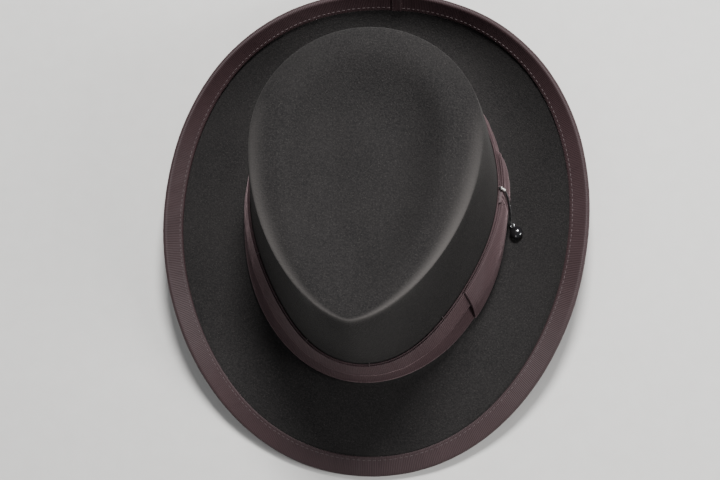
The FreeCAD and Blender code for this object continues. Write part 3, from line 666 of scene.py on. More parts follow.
def satin_finish():
    f = Finish("lining_satin")
    long_way = f.node("Mapping", Vector=f.place(), Scale=(1.0, 1.0, 0.08))
    floats = f.node("TexNoise", Vector=long_way, Scale=2600.0, Detail=2.0)
    folds = f.node("TexNoise", Vector=f.place(), Scale=22.0, Detail=3.0)
    colour = f.mix(folds, rgb(0.026, 0.020, 0.022), rgb(0.050, 0.040, 0.043))
    surface_normal = f.bump(floats, 0.00004, 0.5, f.bump(folds, 0.0012, 0.5))
    return f.surface(Base_Color=colour, Roughness=0.34, Anisotropic=0.6, Normal=surface_normal,
                     Sheen_Weight=0.25, Sheen_Roughness=0.25)


THREAD_FINISH = twisted_finish("ribbon_thread", rgb(0.028, 0.016, 0.017), rgb(0.066, 0.043, 0.045), 0.0011,
                               0.55,
                               0.00006)
DARK_THREAD_FINISH = twisted_finish("sweatband_thread", rgb(0.030, 0.024, 0.022), rgb(0.070, 0.058, 0.052),
                                    0.0011,
                                    0.6, 0.00006)
TAPE_FINISH = grosgrain_finish("reed_tape", rgb(0.020, 0.013, 0.014), rgb(0.046, 0.031, 0.033), 0.0008,
                               0.00008)
ELASTIC_FINISH = braid_finish()
SLEEVE_FINISH = metal_finish("sleeve_metal", rgb(0.62, 0.60, 0.57), 0.34)
EYE_FINISH = metal_finish("eye_metal", rgb(0.34, 0.34, 0.35), 0.26)
BUTTON_FINISH = button_finish()
LEATHER_FINISH = leather_finish()
SATIN_FINISH = satin_finish()
cord_data.materials.append(ELASTIC_FINISH)
print("finishes:", len(bpy.data.materials))

# %% [markdown]
# ## The felt body
# The felt is one shell: its outer face from the middle of the top to the brim's edge, round the edge, and
# back inside. A blocked hat is never as smooth as its formula. Hands leave low hollows in the bash, a soft
# ridge where the front folds, and the brim's edge wanders by a fraction of a millimetre. Those are added to
# the points along their normals, as a sculptor would push them.

# %% Felt body
def hollow(points, x, y, reach_x, reach_y):
    """How strongly a soft dab at x, y is felt at each point, from 0 to 1."""
    return np.exp(-((points[..., 0] - x) / reach_x) ** 2 - ((points[..., 1] - y) / reach_y) ** 2)


def crown_relief(points, rows):
    """Millimetres that hands have pushed the crown's top and its front in or out."""
    top = np.clip(((RIM_ROW - 2) / SPANS - rows) / 0.06, 0, 1)[:, None]
    dome = 0.9 * hollow(points, 2, 24, 17, 34)
    lobes = -1.0 * hollow(points, 30, 42, 15, 24) - 1.0 * hollow(points, -30, 44, 15, 24)
    front = 0.7 * hollow(points, 10, -28, 9, 22) - 0.5 * hollow(points, -18, -34, 10, 20)
    ripple = 0.22 * np.sin(points[..., 0] * 0.19 + 1.0) * np.sin(points[..., 1] * 0.13)
    return top * (dome + lobes + front + ripple)


def edge_wobble(turn):
    """Millimetres that the brim's edge wanders up and down."""
    return 0.35 * waves(turn, 3)


FELT_ROWS, FELT_COLUMNS = 300, 720
felt_rows = np.linspace(0, 1, FELT_ROWS)
felt_turns = np.arange(FELT_COLUMNS) * 360.0 / FELT_COLUMNS
outer = surface(control, felt_rows, felt_turns)
outer_normals = grid_normals(outer)
relief = crown_relief(outer, felt_rows)
break_row = (FOOT_ROW - 1) / SPANS
brim_share = np.clip((felt_rows - break_row) / (1 - break_row), 0, 1)[:, None]
brim_ripples = 0.12 * waves(felt_turns, 11, 14, 5, 40) * brim_share
relief = relief + edge_wobble(felt_turns) * brim_share**2 + brim_ripples
outer = outer + outer_normals * relief[..., None]
inner = outer - outer_normals * FELT
edge_mid = (outer[-1] + inner[-1]) / 2
edge_out = outer[-1] - outer[-2]
edge_out /= np.linalg.norm(edge_out, axis=-1, keepdims=True)
edge_up = outer_normals[-1]
rounding = [edge_mid + edge_out * (0.45 * math.cos(a)) + edge_up * (FELT / 2 * math.sin(a))
            for a in np.radians((54, 18, -18, -54))]
felt_grid = np.concatenate([outer, rounding, inner[::-1]])
felt_faces = grid_faces(len(felt_grid), FELT_COLUMNS)
middles = np.array([felt_grid[0].mean(0), felt_grid[-1].mean(0)])
first, last = len(felt_grid) * FELT_COLUMNS, len(felt_grid) * FELT_COLUMNS + 1
ring = np.arange(0, FELT_COLUMNS, 2)
bottom = (len(felt_grid) - 1) * FELT_COLUMNS
cap_top = np.stack([ring, np.full_like(ring, first), (ring + 2) % FELT_COLUMNS, ring + 1], -1)
cap_bottom = np.stack([bottom + ring, bottom + ring + 1, bottom + (ring + 2) % FELT_COLUMNS,
                       np.full_like(ring, last)], -1)
felt_points = np.concatenate([felt_grid.reshape(-1, 3), middles])
felt_body = make_piece("felt_hat", felt_points, np.concatenate([felt_faces, cap_top, cap_bottom]),
                       felt_points[:, :2] / 1000, FELT_FINISH, "felt", ["felt_body"])
# A painted highlight along the crest of the crown's front: a share from 0 to 1, stored on the felt's points,
# that the felt's finish mixes towards a lighter colour
RIDGE_ROW = RIM_ROW - 2.2
front_share = np.clip(-np.sin(np.radians(felt_turns)) + 0.35, 0, 1)
ridge_highlight = np.exp(-((felt_rows[:, None] * SPANS - RIDGE_ROW) / 1.1) ** 2) * front_share
ridge_highlight_all = np.zeros(len(felt_points), np.float32)
ridge_highlight_all[:ridge_highlight.size] = ridge_highlight.ravel()
felt_body.data.attributes.new("ridge_highlight", "FLOAT", "POINT").data.foreach_set("value", ridge_highlight_all)
print("felt:", len(felt_body.data.polygons), "faces")

# %% [markdown]
# ## The bound edge
# A ribbon is folded over the brim's edge and sewn through. Sewing a straight ribbon round a curve gathers
# its inner edge, so small puckers run across it. Here the ribbon's section is a path: in over the upper
# face, round the edge, and back under the lower face, and the puckers lift it by a tenth of a millimetre or
# two.

# %% Binding
BINDING_GAP = 0.2
EDGE_HALF_ARC = 1.2         # of the ribbon round the brim's edge, from its middle to where it lies flat


def binding_place(turn, walk, out):
    """Places on the folded ribbon. walk is millimetres from the edge, positive above and negative below."""
    turn, walk, out = np.broadcast_arrays(turn, walk, out)
    over = np.clip(np.abs(walk) - EDGE_HALF_ARC, 0, None)
    above = np.sign(walk)
    sunk = np.where(above > 0, 0.0, -FELT)
    wobble = edge_wobble(turn) * np.clip(1 - over / 40, 0, 1) ** 2
    flat_part = on_brim(turn, over, sunk + above * out + wobble)
    rim_top = on_brim(turn, 0.0, edge_wobble(turn))
    rim_low = on_brim(turn, 0.0, edge_wobble(turn) - FELT)
    inside = on_brim(turn, 2.0, edge_wobble(turn) - FELT / 2)
    middle = (rim_top + rim_low) / 2
    outward = middle - inside
    outward /= np.linalg.norm(outward, axis=-1, keepdims=True)
    upward = (rim_top - rim_low) / FELT
    a = np.clip(walk / EDGE_HALF_ARC, -1, 1) * math.pi / 2
    round_part = middle + outward * ((0.6 + out) * np.cos(a))[..., None] + upward * (
        (FELT / 2 + out) * np.sin(a))[..., None]
    return np.where((np.abs(walk) > EDGE_HALF_ARC)[..., None], flat_part, round_part)


def puckers(turn, walk):
    """Small gathers across the ribbon, strongest at its inner edge."""
    fine_part = waves(turn, 21, 24, 60, 190) * 0.13
    broad = waves(turn + np.abs(walk) * 0.35, 22, 16, 20, 90) * 0.14
    inner_edge = np.clip((np.abs(walk) - 3) / 9, 0, 1)
    return 0.12 + (fine_part + broad) * (0.35 + 0.65 * inner_edge)


BINDING_COLUMNS = 1440
binding_turns = (np.arange(BINDING_COLUMNS) * 0.25)[None, :]
reach = BINDING_WIDTH + EDGE_HALF_ARC
walks = np.concatenate([np.linspace(reach, EDGE_HALF_ARC, 12),
                        np.linspace(EDGE_HALF_ARC, -EDGE_HALF_ARC, 9)[1:-1],
                        np.linspace(-EDGE_HALF_ARC, -reach, 12)])
walks = walks[:, None]
selvage = 0.14 * np.exp(-((np.abs(walks) - reach + 0.5) / 0.45) ** 2)
lift = np.clip(puckers(binding_turns, walks), 0.0, None)
layers = [binding_place(binding_turns, walks, BINDING_GAP + lift + extra)
          for extra in (RIBBON + selvage, 0.0)]
edge_length = np.concatenate([[0], np.cumsum(np.linalg.norm(np.diff(edge_curve[-1], axis=0), axis=-1))])
binding = make_piece("binding_ribbon", *shell_between(*layers, True, edge_length[None, :], walks),
                     BINDING_FINISH, "binding_grosgrain", ["brim_binding"])
print("binding:", round(float(edge_length[-1])), "mm of ribbon")

# %% [markdown]
# ## Stitches
# A machine stitch is a short thread lying on the cloth between two holes: a small capsule, fat in the middle
# and gone into the ribbon at both ends. One builder lays a row of capsules along any line of points, and the
# rows only differ in their line, their pitch and the thickness of their thread.

# %% Stitch builder
def stitches(name, line, normals, pitch, share, thickness, finish, slot, replaces=(), closed=True,
             body="hat"):
    """A row of stitches along a line of points, each share of the pitch long."""
    ends = np.concatenate([line, line[:1]]) if closed else line
    faces_up = np.concatenate([normals, normals[:1]]) if closed else normals
    walked = np.concatenate([[0], np.cumsum(np.linalg.norm(np.diff(ends, axis=0), axis=1))])
    number = max(int(walked[-1] / pitch), 1)
    starts = (np.arange(number) + 0.5) * walked[-1] / number + rng.normal(0, 0.04 * pitch, number)
    steps = np.linspace(-1, 1, 7)
    at = starts[:, None] + steps[None, :] * pitch * share / 2
    at = np.clip(at, 0, walked[-1])
    centre = np.stack([np.interp(at, walked, ends[:, k]) for k in range(3)], -1)
    up_way = np.stack([np.interp(at, walked, faces_up[:, k]) for k in range(3)], -1)
    along = np.gradient(centre, axis=1)
    along /= np.maximum(np.linalg.norm(along, axis=-1, keepdims=True), 1e-9)
    up_way -= along * (up_way * along).sum(-1, keepdims=True)
    up_way /= np.linalg.norm(up_way, axis=-1, keepdims=True)
    side = np.cross(along, up_way)
    radius = thickness / 2 * np.sqrt(np.clip(1 - steps**4, 0.03, 1))
    sunk = (steps**2 * thickness * 0.55)[None, :, None]
    sides = 8
    a = 2 * math.pi * np.arange(sides) / sides
    section = side[:, :, None] * np.cos(a)[:, None] + up_way[:, :, None] * np.sin(a)[:, None]
    points = (centre - up_way * sunk)[:, :, None] + section * radius[None, :, None, None]
    per = len(steps) * sides
    one = grid_faces(len(steps), sides)
    caps = []
    for end in (0, len(steps) - 1):
        row = end * sides
        for quad in ((0, 1, 2, 3), (0, 3, 4, 7), (4, 5, 6, 7)):
            caps.append([row + k for k in (quad if end == 0 else quad[::-1])])
    one = np.concatenate([one, np.array(caps)])
    faces = (one[None] + per * np.arange(number)[:, None, None]).reshape(-1, 4)
    u = np.broadcast_to(at[:, :, None], points.shape[:3]) / 1000.0
    v = np.broadcast_to(np.arange(sides)[None, None, :] / sides, points.shape[:3])
    return make_piece(name, points.reshape(-1, 3), faces, np.stack([u, v], -1).reshape(-1, 2), finish, slot,
                      replaces, body)


def brim_seam(walk, out):
    """A line on the binding and the way up from it. walk is millimetres from the edge, negative below."""
    turn = np.arange(0, 360, 0.5)
    walk_all = np.full_like(turn, walk)
    face = BINDING_GAP + RIBBON + np.clip(puckers(turn, walk_all), 0, None) + out
    line = binding_place(turn, walk_all, face)
    over = binding_place(turn, walk_all, face + 1)
    return line, over - line


STITCH_INSET = 2.2
STITCH_PITCH = 3.4
THREAD = 0.45
seam_walk = BINDING_WIDTH + 1.2 - STITCH_INSET
stitches("binding_stitches_above", *brim_seam(seam_walk, 0.10), STITCH_PITCH, 0.72, THREAD, THREAD_FINISH,
         "ribbon_thread", ["binding_thread"])
stitches("binding_stitches_below", *brim_seam(-seam_walk, 0.10), STITCH_PITCH, 0.72, THREAD, THREAD_FINISH,
         "ribbon_thread")
print("stitches round the brim:", int(edge_length[-1] / STITCH_PITCH), "on each face")

# %% [markdown]
# The ribbon's two ends meet at the back, where one laps over the other. The lap is a short piece of the same
# ribbon with its raw end turned under, lying on top and sewn down across.

# %% Binding lap
LAP_TURN, LAP_LENGTH = 88.0, 9.0
lap_half = LAP_LENGTH / 2 / 1.15 / BRIM_REACH["back"] * 180 / math.pi
lap_turns = (LAP_TURN + np.linspace(-lap_half, lap_half, 24))[None, :]
lap_walks = walks * 1.004
lap_lift = np.clip(puckers(lap_turns, lap_walks), 0, None) + BINDING_GAP + RIBBON + 0.05
lap_round = 0.35 * np.clip(np.abs(np.linspace(-1, 1, 24)) * 6 - 5, 0, 1)[None, :]
lap_layers = [binding_place(lap_turns, lap_walks, lap_lift + 0.55 - lap_round),
              binding_place(lap_turns, lap_walks, lap_lift + lap_round * 0.2)]
make_piece("binding_lap", *shell_between(*lap_layers, False, (np.linspace(0, LAP_LENGTH, 24))[None, :],
                                         lap_walks),
           BINDING_FINISH, "binding_grosgrain")
lap_line = binding_place(np.full(20, LAP_TURN + lap_half * 0.7), np.linspace(1.6, reach - 1, 20),
                         lap_lift[:12].mean() + 0.62)
stitches("binding_lap_stitches", lap_line, np.tile([0.0, -0.2, 1.0], (20, 1)), 2.4, 0.6, 0.4, THREAD_FINISH,
         "ribbon_thread", closed=False)

# %% [markdown]
# ## The ribbon round the crown
# The hat band is in two tiers. A wide ribbon lies flat on the felt, and a narrower one is sewn over its
# upper half with its lower edge left free. The wind cord runs in that pocket, so the free edge stands away
# from the band and throws a dark line under it. It stands off least in front of the bow.

# %% Hat band and the ribbon over it
def wall_strip(low, high, rows, depth, thickness, turn, wavy=0.0, seed=5):
    """Upper and lower grids of a ribbon on the crown's wall; depth is a function of height share and turn."""
    shares = np.linspace(0, 1, rows)[:, None]
    edge_line = wavy * waves(turn, seed, 10, 2, 18)
    height = low + (high - low) * shares + edge_line * (1 - 0.5 * shares)
    selvage_bead = 0.16 * (np.exp(-(shares * (high - low) / 0.7) ** 2)
                           + np.exp(-((1 - shares) * (high - low) / 0.7) ** 2))
    out = depth(shares, turn)
    return [on_wall(turn, height, out + thickness + selvage_bead), on_wall(turn, height, out)], height


BAND_COLUMNS = 1080
band_turns = (np.arange(BAND_COLUMNS) * 360.0 / BAND_COLUMNS)[None, :]
band_along = np.interp(band_turns[0], fine_turns, foot_length[:-1])[None, :]
GAP = BAND_OUT - RIBBON


def band_flare(turn):
    """How far the band's foot stands off. Under the bow it lies flat."""
    away = np.abs((turn - BOW_TURN + 180.0) % 360.0 - 180.0)
    share = np.clip((away - 55.0) / 60.0, 0, 1)
    return 2.2 * share * share * (3 - 2 * share)


def band_depth(share, turn):
    buckle = 0.28 * waves(turn + share * 4, 31, 12, 6, 40) + 0.10 * waves(turn, 32, 16, 30, 110)
    flat = GAP + 0.1 + np.clip(buckle, -0.25, 0.5) * np.sin(math.pi * np.clip(share, 0, 1)) ** 0.6
    return flat + band_flare(turn) * (1 - np.clip(share, 0, 1)) ** 3


band_layers, band_heights = wall_strip(BAND_FOOT, BAND_TOP, 22, band_depth, RIBBON, band_turns, 0.25, 5)
hat_band = make_piece("band_ribbon", *shell_between(*band_layers, True, band_along, band_heights),
                      BAND_FINISH,
                      "band_grosgrain", ["hat_band"])

OVERLAY_LIFT, OVERLAY_SWING, CLOSEST_TURN = 1.7, 0.25, 325.0


def overlay_depth(share, turn):
    lift = OVERLAY_LIFT - OVERLAY_SWING * np.cos(np.radians(turn - CLOSEST_TURN))
    ruffle = 0.30 * waves(turn, 41, 12, 8, 46) * (1 - share) + 0.10 * waves(turn + 3 * share, 42, 14, 30, 90)
    return BAND_OUT + 0.25 + (lift + ruffle) * (1 - share) + 0.12


overlay_layers, overlay_heights = wall_strip(OVERLAY_FOOT, BAND_TOP - 1.0, 16, overlay_depth, RIBBON,
                                             band_turns,
                                             0.45, 6)
overlay = make_piece("band_overlay_ribbon", *shell_between(*overlay_layers, True, band_along,
                                                           overlay_heights),
                     BAND_FINISH, "band_grosgrain", ["hat_band_overlay"])

ring_turns = np.arange(0, 360, 0.5)
ring_sides = 10
ring_angles = (2 * math.pi * np.arange(ring_sides) / ring_sides)[:, None]
ring_points = on_wall(ring_turns[None, :], OVERLAY_FOOT + 2.6 + 0.5 * np.sin(ring_angles),
                      BAND_OUT + 0.2 + 0.5 + 0.5 * np.cos(ring_angles) + 0.05)
ring_uv = np.stack(np.broadcast_arrays(np.interp(ring_turns, fine_turns, foot_length[:-1])[None, :] / 1000,
                                       ring_angles / 2 / math.pi), -1).reshape(-1, 2)
make_piece("wind_cord_in_band", ring_points.reshape(-1, 3),
           grid_faces(ring_sides, len(ring_turns), wrap_rows=True),
           ring_uv, ELASTIC_FINISH, "elastic", ["wind_cord_ring"])

# %% [markdown]
# A few hand stitches, called tacks, hold the band's upper edge to the felt. Each is one short thread.

# %% Tacks
TACK_TURNS = (62.0, 118.0, 160.0, 205.0, 243.0, 275.0, 312.0)
tack_parts = []
for turn in TACK_TURNS:
    steps = np.linspace(0, 1, 9)
    height = BAND_TOP - 0.9 + 2.6 * steps
    out = 1.75 - 1.35 * steps + 0.35 * np.sin(math.pi * steps)
    tack_parts.append(on_wall(np.full(9, turn) + 0.25 * steps, height, out))
tack_sides = 8
tack_angles = 2 * math.pi * np.arange(tack_sides) / tack_sides
tack_points, tack_faces, tack_uv = [], [], []
for number, centres in enumerate(tack_parts):
    along = np.gradient(centres, axis=0)
    along /= np.linalg.norm(along, axis=1, keepdims=True)
    side = np.cross(along, [0, 0, 1.0])
    side /= np.linalg.norm(side, axis=1, keepdims=True)
    over = np.cross(side, along)
    rings = centres[:, None] + THREAD / 2 * (side[:, None] * np.cos(tack_angles)[:, None]
                                             + over[:, None] * np.sin(tack_angles)[:, None])
    tack_points.append(rings.reshape(-1, 3))
    faces = [grid_faces(9, tack_sides)]
    for row in (0, 8 * tack_sides):
        quad = np.array([(0, 1, 2, 3), (0, 3, 4, 7), (4, 5, 6, 7)]) + row
        faces.append(quad if row == 0 else quad[:, ::-1])
    tack_faces.append(np.concatenate(faces) + number * 9 * tack_sides)
    tack_uv.append(np.stack(np.broadcast_arrays(steps[:, None] * 0.0026, tack_angles[None, :] / 6.28), -1))
make_piece("band_tacks", np.concatenate(tack_points), np.concatenate(tack_faces),
           np.concatenate([part.reshape(-1, 2) for part in tack_uv]), THREAD_FINISH, "ribbon_thread",
           ["band_tack_threads"])

# %% [markdown]
# ## The bow
# A hatter's bow is flat. Each loop is one length of the band's ribbon, taken out to a fold and back under
# itself, with its two ends hidden by a knot: a third piece wrapped over the middle and pulled tight, so that
# it creases from top to bottom. The long loop points to the front and the short one to the back, and the
# ribbon's slanted end shows under the short one. A loop's side view is a path with two straight runs and a
# round fold between them.

# %% Bow loops
BOW_LOW, BOW_HIGH = BAND_FOOT + 0.6, BAND_TOP + 0.4
BOW_UNDER, BOW_RISE, BOW_BULGE, LOOP_THICKNESS = 1.3, 0.75, 1.95, 1.4


def waist(d, reach):
    return np.maximum(0.0, 1 - np.abs(d) / reach) ** 2


def bow_depth(share):
    return BOW_UNDER + BOW_RISE * share + BOW_BULGE * np.sin(math.pi * share)


def bow_loop(name, tip, node, seed):
    """A folded loop from the knot to its tip. Negative distances run towards the front."""
    way, reach = math.copysign(1, tip), abs(tip)
    start = KNOT_WIDTH / 2 - 2.5
    fold = (LOOP_THICKNESS - RIBBON) / 2
    run = np.linspace(start, reach - 3.4, 46)
    bend = np.linspace(-1, 1, 13)[1:-1] * math.pi / 2
    squeeze = 0.55 + 0.45 * np.clip((reach - run) / 6.0, 0, 1)
    tip_fold = fold * 0.78
    path_d = np.concatenate([run, reach - 3.4 + 3.1 * np.cos(bend) ** 1.4, run[::-1]])
    path_out = np.concatenate([fold * squeeze * 1.1, -tip_fold * np.sin(bend), -fold * squeeze[::-1]])
    shares = np.linspace(0, 1, 26)[:, None]
    d = path_d[None, :]
    over_tail = RIBBON + 0.3 if tip > 0 else 0.0
    middle = bow_depth(shares) + over_tail + LOOP_THICKNESS / 2
    slope = np.gradient(path_d), np.gradient(path_out)
    size = np.hypot(*slope)
    normal_d, normal_out = -slope[1] / size, slope[0] / size
    pick = np.random.default_rng(seed)
    crease = sum(pick.uniform(0.08, 0.16) * np.sin(shares * pick.uniform(9, 20) + pick.uniform(0, 6))
                 for _ in range(4)) * np.exp(-(d - start) / 13.0)
    upper_run = np.clip(np.arange(len(path_d)) < len(run), 0, 1)
    roll = 0.35 * np.sin(math.pi * shares) * np.sin(math.pi * np.clip(d / reach, 0, 1)) * upper_run
    low = BOW_LOW + 2.2 * waist(d, reach)
    high = BOW_HIGH - 1.2 * waist(d, reach)
    edge_bow = 0.35 * np.sin(d * 0.11 + seed)
    height = low + (high - low) * shares + edge_bow * (1 - 2 * shares) * 0.5
    bead = 0.14 * (np.exp(-(shares * 26 / 0.7) ** 2) + np.exp(-((1 - shares) * 26 / 0.7) ** 2))
    layers = []
    for half in (RIBBON / 2 + bead, -RIBBON / 2 + 0 * bead):
        out = middle + path_out + normal_out * half + (crease + roll) * np.sign(path_out + 0.01)
        layers.append(along_band(way * (d + normal_d * half), height, np.maximum(out, BAND_OUT + 0.5)))
    walked = np.concatenate([[0], np.cumsum(np.hypot(np.diff(path_d), np.diff(path_out)))])
    piece = make_piece(name, *shell_between(*layers, False, walked[None, :], height), BAND_FINISH,
                       "band_grosgrain", [node])
    return float(walked[-1])


front_ribbon = bow_loop("bow_long_loop", -BOW_FRONT, "bow_front_loop", 51)
back_ribbon = bow_loop("bow_short_loop", BOW_BACK, "bow_back_loop", 57)
print("ribbon in the bow's loops:", round(front_ribbon), "and", round(back_ribbon), "mm")

# %% [markdown]
# The tail lies under the short loop and past it, cut on a slant so that it frays less. The knot is wrapped
# from top to bottom over the loops, so its creases run that way, and its two side edges fold in a little.

# %% Tail and knot
tail_u = np.linspace(0, 1, 40)[None, :]
tail_shares = np.linspace(0, 1, 18)[:, None]
tail_start, tail_end, SLANT = KNOT_WIDTH / 2 + 0.3, BOW_BACK + 11.0, 7.0
tail_d = tail_start + (tail_end - SLANT * tail_shares - tail_start) * tail_u
tail_height = BOW_LOW + 0.5 + (BOW_HIGH - BOW_LOW - 2.5) * tail_shares + 0 * tail_u
tail_curl = 0.35 * np.clip(tail_u * 3 - 2, 0, 1) ** 2 * (1 - tail_shares)
tail_out = bow_depth(tail_shares) + tail_curl + 0.10 * np.sin(tail_d * 0.5)
tail_layers = [along_band(tail_d, tail_height, tail_out + extra) for extra in (RIBBON * 0.9, 0.0)]
tail = make_piece("bow_tail_ribbon", *shell_between(*tail_layers, False, tail_d, tail_height), BAND_FINISH,
                  "band_grosgrain", ["bow_tail"])

knot_half = KNOT_WIDTH / 2
knot_across = np.linspace(-1, 1, 48)[None, :]
knot_up = np.concatenate([np.linspace(-0.10, 0.0, 7)[:-1], np.linspace(0, 1, 40),
                          np.linspace(1.0, 1.10, 7)[1:]])
knot_up = knot_up[:, None]
inside_share = np.clip(knot_up, 0, 1)
past = np.clip(np.maximum(-knot_up, knot_up - 1) / 0.10, 0, 1)
knot_low, knot_high = BAND_FOOT + 1.2, BAND_TOP + 0.2
knot_tuck = np.sign(knot_up - 0.5) * 0.5 * np.sin(past * 1.57)
knot_height = knot_low + (knot_high - knot_low) * inside_share + knot_tuck
pull = 1 - 0.10 * np.sin(math.pi * inside_share)
knot_d = knot_half * knot_across * pull
knot_full = 1.1 + 0.3 * (1 - knot_across**2)
creases = (0.20 * np.sin(knot_across * 9.5 + 1.0 + 1.2 * knot_up)
           + 0.13 * np.sin(knot_across * 17 - 1.1 * knot_up)
           + 0.06 * np.sin(knot_across * 31 + 2))
side_fold = 0.9 * np.clip(np.abs(knot_across) * 5 - 4, 0, 1) ** 2
knot_out = bow_depth(inside_share) + knot_full + creases * (1 - 0.6 * np.abs(knot_across)) - side_fold
knot_out = knot_out - past**1.5 * (knot_full + 0.6)
knot_layers = [along_band(knot_d, knot_height,
                          np.maximum(knot_out - drop, BAND_OUT + 0.35 + 0.1 * (1 - drop)))
               for drop in (0.0, RIBBON)]
knot = make_piece("bow_knot_ribbon", *shell_between(*knot_layers, False, knot_height * 1.0, knot_d),
                  BAND_FINISH,
                  "band_grosgrain", ["bow_knot"])

# %% [markdown]
# ## The cord's fittings
# A pale metal sleeve is clenched on the elastic where it comes out. At the far end the elastic is sewn back
# into a small loop, the button's wire eye hangs in that loop, and the button is a flattened ball of black
# plastic, the only part of the hat that swings. It is lathed from a profile.

# %% Sleeve, loop, eye and button
sleeve_middle = cord_points[1].lerp(cord_points[2], 0.45)
sleeve_along = (cord_points[2] - cord_points[1]).normalized()
BRIM_UP = Vector((-0.263, 0.065, 0.9625)).normalized()
OUTWARD = Vector((0.51, -0.86, 0.0))
ahead = (OUTWARD - BRIM_UP * OUTWARD.dot(BRIM_UP)).normalized()
beside = BRIM_UP.cross(ahead)


def lathed(name, centre, axis, profile, finish, slot, node, body, segments=64):
    """A piece turned from a profile of (radius, height) in millimetres; its ends close on the axis."""
    spin = axis.to_track_quat("Z", "Y").to_matrix()
    centre_mm = np.array(centre) * 1000
    a = 2 * math.pi * np.arange(segments) / segments
    rings = [np.stack([r * np.cos(a), r * np.sin(a), np.full(segments, h)], -1) for r, h in profile]
    points = np.array(rings) @ np.array(spin).T + centre_mm
    walked = np.concatenate([[0], np.cumsum([math.dist(p, q) for p, q in zip(profile, profile[1:])])]) / 1000
    uv = np.stack(np.broadcast_arrays(walked[:, None], a[None, :] / 6.283 * 0.01), -1).reshape(-1, 2)
    piece = make_piece(name, points.reshape(-1, 3), grid_faces(len(profile), segments), uv, finish, slot,
                       [node],
                       body, leaned=False)
    return piece


def ring_piece(name, centre, axis, start_way, major, minor, finish, slot, node, body):
    """A closed ring of round section."""
    second = axis.cross(start_way).normalized()
    u = 2 * math.pi * np.arange(72) / 72
    v = 2 * math.pi * np.arange(18) / 18
    way = np.cos(u)[:, None] * np.array(start_way) + np.sin(u)[:, None] * np.array(second)
    points = (np.array(centre) * 1000 + way[:, None] * (major + minor * np.cos(v))[None, :, None]
              + np.array(axis) * (minor * np.sin(v))[None, :, None])
    uv = np.stack(np.broadcast_arrays(u[:, None] * major / 1000, v[None, :] / 6.283), -1).reshape(-1, 2)
    return make_piece(name, points.reshape(-1, 3), grid_faces(72, 18, wrap_rows=True), uv, finish, slot,
                      [node],
                      body, leaned=False)


SLEEVE_PROFILE = [(0.05, -1.62), (0.75, -1.70), (0.98, -1.66), (1.08, -1.50), (1.10, -1.1), (1.04, -0.75),
                  (0.93, -0.55), (0.91, -0.40), (1.02, -0.2), (1.08, 0.0), (1.02, 0.2), (0.91, 0.40),
                  (0.93, 0.55),
                  (1.04, 0.75), (1.10, 1.1), (1.08, 1.50), (0.98, 1.66), (0.75, 1.70), (0.05, 1.62)]
sleeve = lathed("cord_sleeve", sleeve_middle, sleeve_along, SLEEVE_PROFILE, SLEEVE_FINISH, "sleeve_metal",
                "wind_cord_sleeve", "hat")
cord_end = cord_points[-1]
CORD_LOOP, EYE, LINK, LOOP_START = 1.3, 1.2, 1.5, 0.3
BUTTON, BUTTON_THICKNESS = 8.6, 5.6
loop_centre = cord_end + ahead * (LOOP_START + CORD_LOOP) / 1000
eye_centre = loop_centre + ahead * LINK / 1000
button_centre = eye_centre + ahead * (EYE + BUTTON / 2) / 1000
end_loop = ring_piece("cord_end_loop", loop_centre, beside, ahead, CORD_LOOP, 0.45, ELASTIC_FINISH, "elastic",
                      "wind_cord_loop", "hat")
eye = ring_piece("button_eye", eye_centre, BRIM_UP, ahead, EYE, 0.35, EYE_FINISH, "eye_metal",
                 "wind_button_eye",
                 "button")
half_turns = np.linspace(-math.pi / 2 + 0.03, math.pi / 2 - 0.03, 34)
button_profile = [(BUTTON / 2 * math.cos(t) - 0.10 * math.exp(-((math.sin(t)) / 0.07) ** 2),
                   BUTTON_THICKNESS / 2 * math.sin(t)) for t in half_turns]
button = lathed("black_button", button_centre, BRIM_UP, button_profile, BUTTON_FINISH, "button_plastic",
                "wind_button", "button")

# %% [markdown]
# ## Inside the crown
# A hat is finished inside as carefully as outside. A leather sweatband stands on a thin reed at the break
# and covers the lining's foot; a tape covers the join of its ends at the back, with a flat bow on it. The
# lining is satin: a wall of shallow gathers and a smooth tip.

# %% Sweatband
LINING_INWARD, SATIN = 0.6, 0.5
SWEATBAND_INWARD = LINING_INWARD + SATIN + GAP
SWEATBAND, SWEATBAND_FOOT, SWEATBAND_HEIGHT = 1.1, 0.6, 44.0
REED, REED_HEIGHT, ROUND_TOP = 2.2, -0.6, BREAK_RADIUS + 1.0
FACE = SWEATBAND_INWARD + SWEATBAND


def inside_place(turn, height, inward):
    height = np.asarray(height, float)
    place = on_wall(turn, np.maximum(height, ROUND_TOP), -FELT - inward)
    drop = np.broadcast_to(np.minimum(0.0, height - ROUND_TOP), place.shape[:-1])
    return place + drop[..., None] * np.array([0, 0, 1.0])


inside_turns = (np.arange(720) * 0.5)[None, :]
inside_along = np.interp(inside_turns[0], fine_turns, foot_length[:-1])[None, :]
leather_heights = np.linspace(SWEATBAND_FOOT, SWEATBAND_HEIGHT, 30)[:, None]
leather_wave = 0.22 * waves(inside_turns, 61, 12, 4, 26) * (leather_heights / SWEATBAND_HEIGHT) ** 2
leather_round = 0.3 * np.exp(-((SWEATBAND_HEIGHT - leather_heights) / 0.8) ** 2)
leather_layers = [inside_place(inside_turns, leather_heights, FACE + leather_wave - leather_round + 0.15),
                  inside_place(inside_turns, leather_heights, SWEATBAND_INWARD + 0.15 + leather_wave)]
make_piece("sweatband_leather", *shell_between(*leather_layers, True, inside_along, leather_heights),
           LEATHER_FINISH, "sweatband_leather", ["sweatband"])

